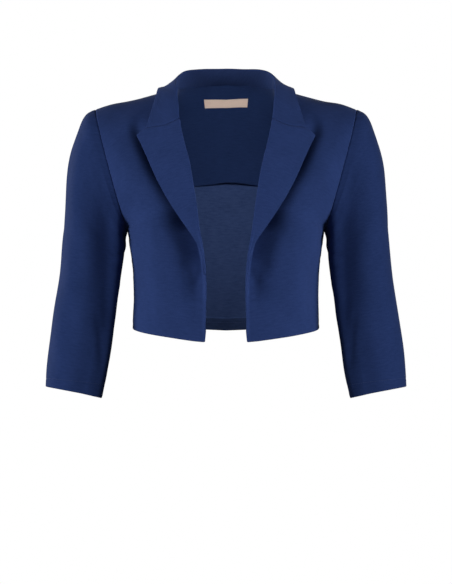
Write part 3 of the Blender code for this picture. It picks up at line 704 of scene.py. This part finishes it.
# Creases give the turn (0 outside, 0.25 front, 0.5 underarm, 0.75 behind) and the share of the length.
sleevePiece = {
    "rows": 150, "columns": 196, "crowding": 0.55, "scale": (0.33, 0.42), "waves": (0.0005, 0.05, 0.13),
    "puckers": (0.00035, 0.014), "seeds": (31, 33), "flat": (0.46, 0.44), "area": 0.112,
    "seamTurn": 0.5, "hemPress": 0.5, "pressFrom": 0.62, "sewnReach": 0.014,
    "hemCalm": (0.02, 0.3),  # over what way from the hem the waves rise, and their share at it
    "hemLine": (0.0115, 0.0185),  # how far the hem is stitched above its edge, outside and under the arm
    "creases": (
        (0.29, 0.05, 0.326, 0.755, 0.003, 0.0285, -0.0062, 0),  # long hollow down the front
        (0.376, -0.04, 0.427, 1.06, 0.0016, 0.0154, 0.0065, 0.3),  # fold that hangs from the armhole
        (0.385, 0.80, 0.39, 1.24, 0.002, 0.023, 0.0030, 0),  # flat front above the hem
        (0.50, 0.66, 0.50, 1.34, 0, 0.024, -0.0030, 0),  # and narrow inner side
        (0.312, 0.74, 0.40, 0.93, 0, 0.007, -0.0008, 0),
        (0, 0.50, 0, 1.04, 0, 0.040, 0.0036, 0),  # fullness outside the elbow
        (1, 0.50, 1, 1.04, 0, 0.040, 0.0036, 0),
        (0.37, 0.52, 0.45, 0.48, 0.002, 0.008, -0.0010, 0.2),  # bend of the elbow
        (0.38, 0.58, 0.46, 0.57, -0.002, 0.007, -0.0008, 0),
        (0.10, 0.12, 0.16, 0.52, 0.006, 0.020, 0.0014, 0),
        (0.21, 0.16, 0.24, 0.46, -0.004, 0.016, -0.0012, 0),
        (0.20, 0.62, 0.17, 0.95, 0.004, 0.018, -0.0010, 0),
        (0.50, -0.20, 0.50, 0.46, 0, 0.026, 0.0018, 0),  # under the arm
        (0.45, 0.03, 0.40, 0.24, 0.003, 0.009, -0.0012, 0.2),
        (0.55, 0.03, 0.61, 0.28, -0.003, 0.010, -0.0020, -0.2),
        (0.66, 0.34, 0.63, 0.84, -0.004, 0.014, -0.0042, 0.1),  # behind
        (0.73, 0.26, 0.71, 0.72, 0.004, 0.012, 0.0028, 0),
        (0.86, 0.46, 0.70, 0.56, 0.004, 0.010, -0.0034, 0.2),
        (0.82, 0.58, 0.64, 0.62, -0.003, 0.009, -0.0028, -0.2),
        (0.84, 0.68, 0.70, 0.67, 0.003, 0.009, -0.0020, 0),
        (0.86, 0.16, 0.84, 0.60, 0.005, 0.019, -0.0024, 0),
        (0.76, 0.74, 0.79, 1.02, 0.004, 0.016, -0.0022, 0),
    ),
}


# Sleeve: each ring is an oval whose middle, depth and tilt come from the table, squarer on the inner side
# towards the pressed hem, and starts at the underarm seam. Gives the hem's distances and stitch line too.
def sleeveGrid(piece, seed):
    along = crowdedLines(piece["rows"], piece["crowding"])
    ring = {name: column[:, None] for name, column in readTable(sleeveRings, along).items()}
    share = np.mod(piece["seamTurn"] + np.arange(piece["columns"]) / piece["columns"], 1)
    cosine, sine = np.cos(2 * math.pi * share), np.sin(2 * math.pi * share)
    pressed = piece["hemPress"] * np.clip((along - piece["pressFrom"]) / (1 - piece["pressFrom"]), 0, 1)
    power = 1 - pressed[:, None] * np.clip(-2 * cosine, 0, 1)
    height = np.maximum(np.abs(sine), 1e-9)  # never quite 0, for the power
    depth = np.where(sine > 0, ring["front"], ring["back"]) * height**(power - 1)

    # A cosine round the ring, between its outermost and its innermost point.
    def between(outermost, innermost):
        return (outermost + innermost) / 2 + (outermost - innermost) / 2 * cosine

    points = np.stack((between(ring["outX"], ring["inX"]), ring["middleY"] - depth * sine,
                       between(ring["outZ"], ring["inZ"]) + ring["rise"] * sine), axis=2)
    distance = edgeDistances(points)
    foot, head = distance["foot"], distance["head"]
    u, v = np.meshgrid(share, along)
    relief = creaseRelief(piece["creases"], u, v, piece["scale"])
    hemReach, hemShare = piece["hemCalm"]
    calm = np.clip(foot / sewing["calmReach"], 0, 1) * np.clip(head / hemReach, hemShare, 1)
    relief += calm * softWaves(points[..., 0] + points[..., 1], points[..., 2], piece["waves"], seed)
    relief += seamPuckers(distance["first"], foot, piece["puckers"], seed + 1)
    relief -= groove("seam", foot) + groove("armhole", foot)
    relief -= stitchedLine("under the arm", np.minimum(distance["first"], distance["last"]))
    outside, under = piece["hemLine"]
    hemLine = outside + (under - outside) * (1 - np.cos(2 * math.pi * share)) / 2
    relief -= stitchedLine("sleeve hem", head - hemLine)
    return liftShoulder(drawIn(raised(points, relief, closed=True), ("foot",), ("head",))), head, hemLine


# Armhole edge of a front or back: one side of its grid, from the underarm up.
def armholeEdge(points, cut, column):
    return points[crowdedLines(cut["rows"], cut["crowding"]) >= bodyCut["underarmLevel"], column]


# Sews the foot of a sleeve to the edges it meets: each point of its first ring moves to the nearest place
# on them, and the move dies away along the sleeve.
def sewnTo(points, edges, reach):
    between = np.linspace(0, 1, 8)[:, None, None]  # eight places along each short stretch of an edge
    places = [edge[:-1] * (1 - between) + edge[1:] * between for edge in edges]
    places = np.concatenate([stretch.reshape(-1, 3) for stretch in places])
    nearest = np.argmin(np.linalg.norm(points[0][:, None] - places, axis=2), axis=1)
    move = places[nearest] - points[0]
    return points + move * edgeFall(edgeDistances(points)["foot"], reach)[..., None]


sleeves = []
fronts, backs = (leftFront, rightFront), (backPoints, mirrored(backPoints))
for seed, before, behind in zip(sleevePiece["seeds"], fronts, backs):
    points, sleeveHem, sleeveHemLine = sleeveGrid(sleevePiece, seed)
    edges = armholeEdge(before, frontPiece, -1), armholeEdge(behind, backPiece, 0)
    sleeves.append(sewnTo(points, edges, sleevePiece["sewnReach"]))
leftSleeve, rightSleeve = sleeves
for side, points, hemDistance in (("left", leftSleeve, sleeveHem),
                                  ("right", mirrored(rightSleeve), sleeveHem[:, ::-1])):
    piece = makeHemmed("sleeve_" + side + "_cloth", points, hemDistance, ("foot",), closed=True)
    declareCloth(piece, "sleeve_" + side)
print("sleeves made")

# Lapels: the gorge and the outer edge as places on the front, and how the lapel stands off it.
gorgeLine = {
    "share": (0, 0.27, 0.50, 0.75, 1),
    "u": (0, 0.118, 0.232, 0.357, 0.477),
    "level": (0.889, 0.873, 0.865, 0.858, 0.836),
}
lapelEdge = {
    "along": (0, 0.170, 0.300, 0.420, 0.640, 0.845, 1),
    "u": (0.010, 0.014, 0.054, 0.117, 0.250, 0.380, 0.477),
    "level": (0.270, 0.368, 0.438, 0.508, 0.633, 0.748, 0.836),
}
lapelPiece = {
    "rows": 132, "crowding": 0.7, "rollColumns": 14, "fallColumns": 46, "wall": 0.0016, "insetReach": 0.005,
    "rollRadius": 0.0026, "breakRoll": 0.65, "fullRollAlong": 0.25, "belly": 0.0025, "stand": 0.0070,
    "standRise": 1.6, "gorgePower": 4, "waves": (0.00025, 0.04, 0.09), "seeds": (41, 42),
    "flat": (0.08, 0.25), "area": 0.0112,
}


# Height of a lapel off the front: the roll's width, a belly as half a sine wave, and an edge that stands
# off most above half way up.
def lapelLift(share, along):
    rise = np.sin(math.pi * np.clip(along, 0, 1)**lapelPiece["standRise"])
    belly = lapelPiece["belly"] * np.sin(math.pi * share)
    return 2 * lapelPiece["rollRadius"] - lapelPiece["wall"] + belly + lapelPiece["stand"] * share**2 * rise


# Lapel: half a turn round the roll line, then out over the front to its edge.
def lapelGrid(piece, seed):
    along = crowdedLines(piece["rows"], piece["crowding"])
    gorgeLevel = bodyCut["gorgeLevel"]
    level = bodyCut["breakLevel"] + along * (gorgeLevel - bodyCut["breakLevel"])
    edge = readTable(lapelEdge, along)
    share = np.sin(math.pi / 2 * np.linspace(0, 1, piece["fallColumns"]))
    gorge = readTable(gorgeLine, share)
    top = along[:, None]**piece["gorgePower"]
    u = edge["u"][:, None] * share + top * (gorge["u"] - share * gorge["u"][-1])
    straight = gorgeLevel + share * (gorge["level"][-1] - gorgeLevel)
    v = level[:, None] + (edge["level"] - level)[:, None] * share + top * (gorge["level"] - straight)
    fall = movedOut(frontSurface, u, v, lapelLift(share[None, :], along[:, None]))
    base = frontSurface(0 * level, level)
    outward = movedOut(frontSurface, 0 * level, level, np.ones(len(level))) - base
    inward = unit(base - frontSurface(0 * level + slopeStep, level))
    turn = np.linspace(0, math.pi, piece["rollColumns"], endpoint=False)[:, None]
    radius = piece["rollRadius"] * np.interp(along, (0, piece["fullRollAlong"]), (piece["breakRoll"], 1))
    radius = radius[:, None, None]
    roll = (base[:, None] + radius * np.sin(turn) * inward[:, None]
            + (radius * (1 - np.cos(turn)) - piece["wall"]) * outward[:, None])
    points = np.concatenate((roll, fall), axis=1)
    distance = edgeDistances(points)
    relief = feltEdge(np.minimum(distance["last"], distance["head"])) - groove("gorge", distance["head"])
    relief += softWaves(distance["first"], distance["foot"], piece["waves"], seed)
    return drawIn(raised(points, relief), ("head",), ("last", "foot"), piece["insetReach"])


leftLapel, rightLapel = (lapelGrid(lapelPiece, seed) for seed in lapelPiece["seeds"])
for side, points in (("left", leftLapel), ("right", mirrored(rightLapel))):
    piece = makeShell("lapel_" + side + "_cloth", points, lapelPiece["wall"], (crepe, crepe), ("head",))
    declareCloth(piece, "lapel_" + side)
print("lapels made")

# Collar from the centre back to the gorge: where its fold is, and its outer edge on the body. The share is
# -1 at the centre back, 0 at the neck point and 1 at the shoulder tip; the drop is below the shoulder.
collarRows = {
    "along": (0, 0.22, 0.42, 0.62, 0.72, 0.86, 1),
    "foldX": (0, 0.0420, 0.0660, 0.0738, 0.0734, 0.0720, 0.0682),
    "foldY": (0.066, 0.061, 0.042, 0.004, -0.014, -0.037, -0.0565),
    "foldZ": (0.0340, 0.0325, 0.0265, 0.0105, 0.0020, -0.0190, -0.0480),
    "edgeShare": (-1, -0.50, -0.02, 0.195, 0.224, 0.272, 0.357),
    "edgeDrop": (0.070, 0.070, 0.055, 0.004, -0.035, -0.082, -0.142),
    "edgeLift": (0.0045, 0.0050, 0.0070, 0.0070, 0.0050, 0.0038, 0.0036),
}
collarPiece = {
    "halfRows": 104, "standColumns": 26, "fallColumns": 44, "wall": 0.0016, "insetReach": 0.005,
    "topRound": 0.0045, "standTop": 0.6, "standPull": 0.5, "fallPull": 0.4, "neckPointAlong": 0.60,
    "pointShare": 0.75, "gorgePower": 6, "neckCover": 0.0050, "neckOverlap": 0.0002,
    "tuckedEnd": 0.0110, "tuckFade": 4,  # the stand's end goes on below the lapel, least at the fold
    "insideShadeColumns": 22, "waves": (0.0003, 0.03, 0.08), "seed": 51, "flat": (0.08, 0.48), "area": 0.0250,
}


# Places on the shoulder by share and drop, behind it where the drop is positive, moved out from the body.
def onBody(share, drop, height):
    neckShare = bodyCut["neckShare"]
    backU = np.where(share < 0, neckShare * (1 + share), neckShare + (1 - neckShare) * share)
    onBack = movedOut(backSurface, backU, 1 - np.abs(drop), height, -1)
    onFront = movedOut(frontSurface, np.maximum(share, 0), 1 - np.abs(drop), height)
    return np.where(((drop > 0) | (share < 0))[:, None], onBack, onFront)


# Curves between rows of points, by the four shares of a cubic.
def curvesBetween(first, second, third, fourth, share):
    return np.einsum("nj,jkc->knc", cubicShares(share), np.stack((first, second, third, fourth)))


# Half the collar: a curve up from the neck seam to the fold, and one from the fold down to the edge, whose
# end is drawn onto the gorge.
def collarHalf(piece):
    along = np.sin(math.pi / 2 * np.linspace(0, 1, piece["halfRows"]))
    rows = readTable(collarRows, along)
    fold = np.stack((rows["foldX"], rows["foldY"], rows["foldZ"]), axis=1)
    edge = onBody(rows["edgeShare"], rows["edgeDrop"], rows["edgeLift"])
    knots = (0, piece["neckPointAlong"], 1)
    seamDrop = np.interp(along, knots, (0, 0, bodyCut["gorgeLevel"] - 1))
    seam = onBody(np.interp(along, knots, (-1, 0, 0)), seamDrop, np.full(len(along), -piece["neckCover"]))
    seam = seam + unit(seam - fold) * piece["neckOverlap"]
    outward = unit(-np.cross(np.gradient(fold, axis=0), (0, 0, 1)))
    leave = seam + piece["standPull"] * (fold - seam)
    arrive = fold - piece["standTop"] * piece["topRound"] * outward
    standShare = crowdedLines(2 * piece["standColumns"])[:piece["standColumns"]] * 2
    stand = curvesBetween(seam, leave, arrive, fold, standShare)
    nearGorge = (along**piece["gorgePower"])[:, None]
    tucked = piece["tuckedEnd"] * nearGorge * np.clip(piece["tuckFade"] * (1 - standShare), 0, 1)
    stand += tucked[..., None] * unit(fold[-1] - fold[-2])
    fallShare = np.sin(math.pi / 2 * np.linspace(0, 1, piece["fallColumns"]))
    leave = fold + piece["topRound"] * outward
    arrive = edge + piece["fallPull"] * (fold - edge)
    fall = curvesBetween(fold, leave, arrive, edge, fallShare)
    gorgeShare = fallShare * piece["pointShare"]
    gorge = readTable(gorgeLine, gorgeShare)
    lift = lapelLift(gorgeShare, np.ones(len(gorgeShare)))
    end = movedOut(frontSurface, gorge["u"], gorge["level"], lift)
    fall[:, 1:] += nearGorge[..., None] * (end - fall[-1])[None, 1:]
    return np.concatenate((stand[:, :-1], fall), axis=1)


# Collar: its half and the mirrored half, with felt edges, grooves at its seams and slight waves.
def collarGrid(piece):
    half = collarHalf(piece)
    points = np.concatenate((half[:0:-1], half * otherSide))
    distance = edgeDistances(points)
    ends = np.minimum(distance["foot"], distance["head"])
    relief = feltEdge(np.minimum(distance["last"], ends)) - groove("gorge", ends)
    relief -= groove("collar foot", distance["first"])
    relief += softWaves(distance["first"], distance["foot"], piece["waves"], piece["seed"])
    return drawIn(raised(points, relief), ("foot", "head", "first"), ("last",), piece["insetReach"])


collarPoints = collarGrid(collarPiece)
# Columns on the inside of the stand take the darker copy of the crepe: painted shade.
standInsideShade = np.zeros(collarPoints.shape[:2], bool)
standInsideShade[:, :collarPiece["insideShadeColumns"]] = True
piece = makeShell("collar_cloth", collarPoints, collarPiece["wall"], (crepe, crepe, collarInsideShade),
                  ("foot", "head", "first"), patch=("outer", standInsideShade))
declareCloth(piece, "collar")
print("collar made")

# Facing below the back neck and the label on it: levels and half width are places on the back.
facingPiece = {
    "rows": 84, "columns": 168, "wall": 0.0012, "gap": 0.0006, "slack": 0.0006, "footLevel": 0.660,
    "headLevel": 0.9985, "half": 0.884, "scale": (0.18, 0.39), "flat": (0.40, 0.17), "area": 0.0590,
    "loose": 0.0012, "looseLevels": 0.12,  # how far the lower edge stands off, and over how many levels
    "wave": 0.0090, "waveAt": 0.05, "waveShare": 0.14, "waveRise": 0.4, "creaseFloor": -0.0005,
    "creases": (
        (0.10, 0.965, 0.34, 0.945, 0.001, 0.004, -0.0012, 0),
        (-0.30, 0.86, -0.12, 0.74, 0.004, 0.014, 0.0010, 0),
        (0.26, 0.84, 0.16, 0.70, -0.003, 0.016, 0.0012, 0),
        (-0.52, 0.80, -0.46, 0.68, 0.002, 0.012, -0.0008, 0),
    ),
}


# Facing: the back's surface moved in below its wall; the loose lower edge stands off, most near the middle.
def facingGrid(piece):
    footLevel = piece["footLevel"]
    u, v = np.meshgrid(piece["half"] * (1 - 2 * crowdedLines(piece["columns"])),
                       footLevel + (piece["headLevel"] - footLevel) * crowdedLines(piece["rows"]))
    base = backSurface(u, v)
    backRelief = creaseRelief(backPiece["creases"], u, v, backPiece["scale"])
    depth = sewing["wall"] + piece["gap"] + piece["slack"] - np.minimum(backRelief, 0)
    depth = depth + np.maximum(creaseRelief(piece["creases"], u, v, piece["scale"]), piece["creaseFloor"])
    depth = depth - groove("facing head", edgeDistances(base)["head"])  # dips into the neck seam
    loose = np.clip(1 - (v - footLevel) / piece["looseLevels"], 0, 1)**2
    swing = piece["wave"] * loose * np.exp(-((u - piece["waveAt"]) / piece["waveShare"])**2)
    points = raised(base, -(depth + piece["loose"] * loose + swing))
    points[..., 2] += swing * piece["waveRise"]
    return points


facingPoints = facingGrid(facingPiece)
# The facing takes the darker copy of the crepe on both sides: painted shade.
piece = makeShell("facing_cloth", facingPoints, facingPiece["wall"], (facingShadeCloth, facingShadeCloth))
declareCloth(piece, "back_neck_facing")

labelPiece = {
    "rows": 20, "columns": 72, "crowding": 0.5, "width": 0.067, "height": 0.0118, "drop": 0.0178,
    "tilt": 1.2, "wall": 0.0006, "gap": 0.0003, "bow": 0.0004, "samples": 101,
    "flat": (0.069, 0.0134), "area": None,
}


# Label: found on the facing by its height and width, tilted a little, and moved in off the facing.
def labelGrid(piece):
    samples = piece["samples"]
    levels = np.linspace(facingPiece["footLevel"], 1, samples)
    centreZ = backSurface(np.zeros(samples), levels)[:, 2]
    shares = np.linspace(0, bodyCut["neckShare"], samples)
    middle = np.interp(-piece["drop"], centreZ, levels)
    rowX = backSurface(shares, np.full(samples, middle))[:, 0]
    x, z = np.meshgrid(piece["width"] / 2 * (1 - 2 * crowdedLines(piece["columns"], piece["crowding"])),
                       piece["height"] / 2 * (2 * crowdedLines(piece["rows"], piece["crowding"]) - 1))
    tilt = math.radians(piece["tilt"])
    placedX, placedZ = x * math.cos(tilt) - z * math.sin(tilt), z * math.cos(tilt) + x * math.sin(tilt)
    u = np.sign(placedX) * np.interp(np.abs(placedX), rowX, shares)
    v = np.interp(-piece["drop"] + placedZ, centreZ, levels)
    depth = sewing["wall"] + facingPiece["gap"] + facingPiece["slack"] + facingPiece["wall"] + piece["gap"]
    return raised(backSurface(u, v), -depth - piece["bow"] * np.cos(2 * math.pi * x / piece["width"]))


labelPoints = labelGrid(labelPiece)
piece = makeShell("label_cloth", labelPoints, labelPiece["wall"], (labelSatin, labelSatin))
declareCloth(piece, "neck_label")
print("facing and label made")

# Stitches, in metres: each is a short round of thread whose ends dip into the cloth.
stitching = {
    "sides": 6, "stations": (-1, -0.85, -0.4, 0.4, 0.85, 1), "girths": (0.15, 0.75, 1, 1, 0.75, 0.15),
    "rise": 0.6,
    "hem": {"pitch": 0.0034, "length": 0.0022, "radius": 0.00022},
    "label": {"pitch": 0.0020, "length": 0.0014, "radius": 0.00014},
    "hemShare": 0.62, "labelInset": 0.0012,
}


# Line of points at given distances from the foot of a grid, straight between its rows.
def lineAt(values, distance, reach):
    after = np.argmax(distance >= reach, axis=0)
    columns = np.arange(distance.shape[1])
    near, far = distance[after - 1, columns], distance[after, columns]
    share = ((reach - near) / (far - near))[:, None]
    return values[after - 1, columns] * (1 - share) + values[after, columns] * share


# Row of stitches along a line: evenly spaced places on it, each with a capsule along the line.
def makeStitches(name, line, outward, size, finish):
    run = np.concatenate(((0,), np.cumsum(np.linalg.norm(np.diff(line, axis=0), axis=1))))
    count = int(run[-1] / size["pitch"])
    places = (np.arange(count) + 0.5) * run[-1] / count

    # Values at the stitches' places, shifted along the line.
    def along(values, shift):
        return np.stack([np.interp(places + shift, run, values[:, axis]) for axis in range(3)], axis=1)

    half, radius, sides = size["length"] / 2, size["radius"], stitching["sides"]
    centre, normal, way = along(line, 0), along(outward, 0), unit(along(line, half) - along(line, -half))
    turn = 2 * math.pi * np.arange(sides) / sides
    station, girth = (np.array(stitching[key])[:, None] for key in ("stations", "girths"))
    offsets = (half * station + 0 * turn, radius * girth * np.cos(turn),
               radius * (girth * np.sin(turn) + stitching["rise"] - station**2))
    vertices = centre[:, None, None]
    for offset, axis in zip(offsets, (way, np.cross(normal, way), normal)):
        vertices = vertices + offset[..., None] * axis[:, None, None]
    rings = len(stitching["stations"])
    faces = cellCorners(closedRound(np.arange(rings * sides).reshape(rings, sides))).reshape(-1, 4)
    quads = faces + (rings * sides * np.arange(count))[:, None, None]
    thread = makeMesh(name, vertices.reshape(-1, 3), quads.reshape(-1, 4), (finish,))
    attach(thread, "root")


# Hem stitches inside a piece, on the turned-up cloth.
def stitchHemInside(name, points, hemDistance):
    distance, normal = edgeDistances(points)["foot"], gridNormals(points)
    inner = points - normal * hemmedWall(hemDistance)[..., None]
    reach = sewing["hemDepth"] * stitching["hemShare"]
    line, outward = lineAt(inner, distance, reach), -lineAt(normal, distance, reach)
    makeStitches(name, line, outward, stitching["hem"], navyThread)


# Hem stitches round a sleeve, on its outside.
def stitchSleeve(name, points, hemLine):
    distance = edgeDistances(points)["head"][::-1]
    normal = gridNormals(points, closed=True)
    line, outward = (lineAt(values[::-1], distance, hemLine) for values in (points, normal))
    line, outward = (np.concatenate((rows, rows[:1])) for rows in (line, outward))
    makeStitches(name, line, outward, stitching["hem"], navyThread)


# Label stitches: a round just inside its edge, on the side that shows.
def stitchLabel(name, points):
    normal = gridNormals(points)
    shown = points - normal * labelPiece["wall"]
    distance = edgeDistances(points)
    row = int(np.argmax(distance["foot"][:, 0] >= stitching["labelInset"]))
    column = int(np.argmax(distance["first"][0] >= stitching["labelInset"]))
    ring = ((row, np.s_[column:-column]), (np.s_[row:-row], -1 - column),
            (-1 - row, np.s_[-1 - column:column:-1]), (np.s_[-1 - row:row:-1], column))
    line, outward = (np.concatenate([values[part] for part in ring]) for values in (shown, -normal))
    makeStitches(name, line, outward, stitching["label"], beigeThread)


stitchHemInside("back_hem_stitches", backPoints, backHem)
stitchHemInside("front_left_hem_stitches", leftFront, frontHem)
stitchHemInside("front_right_hem_stitches", mirrored(rightFront), frontHem[:, ::-1])
stitchSleeve("sleeve_left_hem_stitches", leftSleeve, sleeveHemLine)
stitchSleeve("sleeve_right_hem_stitches", mirrored(rightSleeve), sleeveHemLine[::-1])
stitchLabel("label_stitches", labelPoints)
print("stitches made")

# Stage: a wide pale floor far below.
stageLook = {"floorZ": -2.60, "floorHalf": 9.0, "floorColour": (0.30, 0.30, 0.30, 1), "world": 0.08}


# White to the camera and plain to the light: the kind of ray picks between two shaders.
def whiteToCamera(tree, plain, white, outputKind):
    path, mix = tree.nodes.new("ShaderNodeLightPath"), tree.nodes.new("ShaderNodeMixShader")
    output = tree.nodes.new(outputKind)
    linkNodes(tree, (path, "Is Camera Ray", mix, 0), (plain, 0, mix, 1), (white, 0, mix, 2),
              (mix, 0, output, "Surface"))


# Floor: one wide square.
def makeFloor(look):
    half, z = look["floorHalf"], look["floorZ"]
    corners = np.array(((-half, -half, z), (half, -half, z), (half, half, z), (-half, half, z)))
    material = bpy.data.materials.new("pale floor")
    material.use_nodes = True
    tree = material.node_tree
    tree.nodes.clear()
    plain = addNode(tree, "ShaderNodeBsdfDiffuse", Color=look["floorColour"])
    white = addNode(tree, "ShaderNodeEmission", Strength=1.0)
    whiteToCamera(tree, plain, white, "ShaderNodeOutputMaterial")
    makeMesh("floor", corners, np.arange(4).reshape(1, 4), (material,))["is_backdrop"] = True


# World: a weak even fill.
def makeWorld(look):
    world = bpy.data.worlds.new("white studio")
    bpy.context.scene.world = world
    world.use_nodes = True
    tree = world.node_tree
    tree.nodes.clear()
    fill, white = (addNode(tree, "ShaderNodeBackground", Color=(1, 1, 1, 1), Strength=strength)
                   for strength in (look["world"], 1.0))
    whiteToCamera(tree, fill, white, "ShaderNodeOutputWorld")


# Soft lights: name, place, what they look at, width and height, power, and the cloth they reach if not all.
# A small one before the open front lights the inside. Body, lapels and arms have a pair each, one from each
# side, and an arm's light reaches only the sleeve on its own side.
middle = (0, 0, -0.2)
bodyCloth = ("front", "back", "facing", "label")
softLights = [
    ("front", (0, -2.8, 0.35), middle, (2.2, 1.4), 6.5, ()),
    ("behind right", (-2.7, 1.9, 0.7), middle, (1.2, 1.6), 46.0, ()),
    ("behind left", (1.3, 2.8, 0.9), middle, (1.2, 1.6), 14.0, ()),
    ("inside", (0, -0.34, -0.02), (0, 0.09, -0.2), (0.04, 0.08), 1.15, ("back", "facing", "label")),
]
for way, side in ((-1, "right"), (1, "left")):
    sleeve, elbow = "sleeve_" + side, (way * 0.2, 0, -0.2)
    softLights += [
        (side, (way * 4.4, -1.96, -0.5), middle, (2.0, 2.7), 218.0, bodyCloth),
        (side + " lapel", (way * 4.4, -1.96, 0), middle, (2.0, 2.7), 224.0, ("lapel", "collar")),
        (side + " arm", (way * 3.5, -3.45, -0.4), elbow, (2.0, 2.45), 161.0, (sleeve,)),
    ]


# Lights: rectangles turned towards what they look at, linked to the pieces whose names start as they say.
def makeLights(lights):
    for name, place, aim, size, power, reach in lights:
        light = bpy.data.lights.new(name, "AREA")
        light.shape, light.size, light.size_y, light.energy = "RECTANGLE", size[0], size[1], power
        lamp = bpy.data.objects.new(name, light)
        way = np.array(aim) - np.array(place)
        turn = math.atan2(way[0], way[1])
        fall = math.atan2(way[2], math.hypot(way[0], way[1]))
        lamp.location, lamp.rotation_euler = place, (math.pi / 2 + fall, 0, -turn)
        lamp.visible_camera = False
        bpy.context.scene.collection.objects.link(lamp)
        if reach:
            receivers = bpy.data.collections.new(name + " reach")
            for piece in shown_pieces():
                if piece.name.startswith(reach):
                    receivers.objects.link(piece)
            lamp.light_linking.receiver_collection = receivers


# Camera: level with the chest, tipped down a little so that the jacket sits high in the frame.
cameraView = {"place": (0, -2.4, -0.168), "tip": 3.27, "lens": 98.6, "sensor": 36}


def makeCamera(view):
    camera = bpy.data.cameras.new("camera")
    camera.lens, camera.sensor_width = view["lens"], view["sensor"]
    holder = bpy.data.objects.new("camera", camera)
    holder.location, holder.rotation_euler = view["place"], (math.radians(90 - view["tip"]), 0, 0)
    bpy.context.scene.collection.objects.link(holder)
    bpy.context.scene.camera = holder


makeFloor(stageLook)
makeWorld(stageLook)
makeLights(softLights)
makeCamera(cameraView)
bpy.context.scene.view_settings.view_transform = "Standard"
print("stage, lights and camera made")
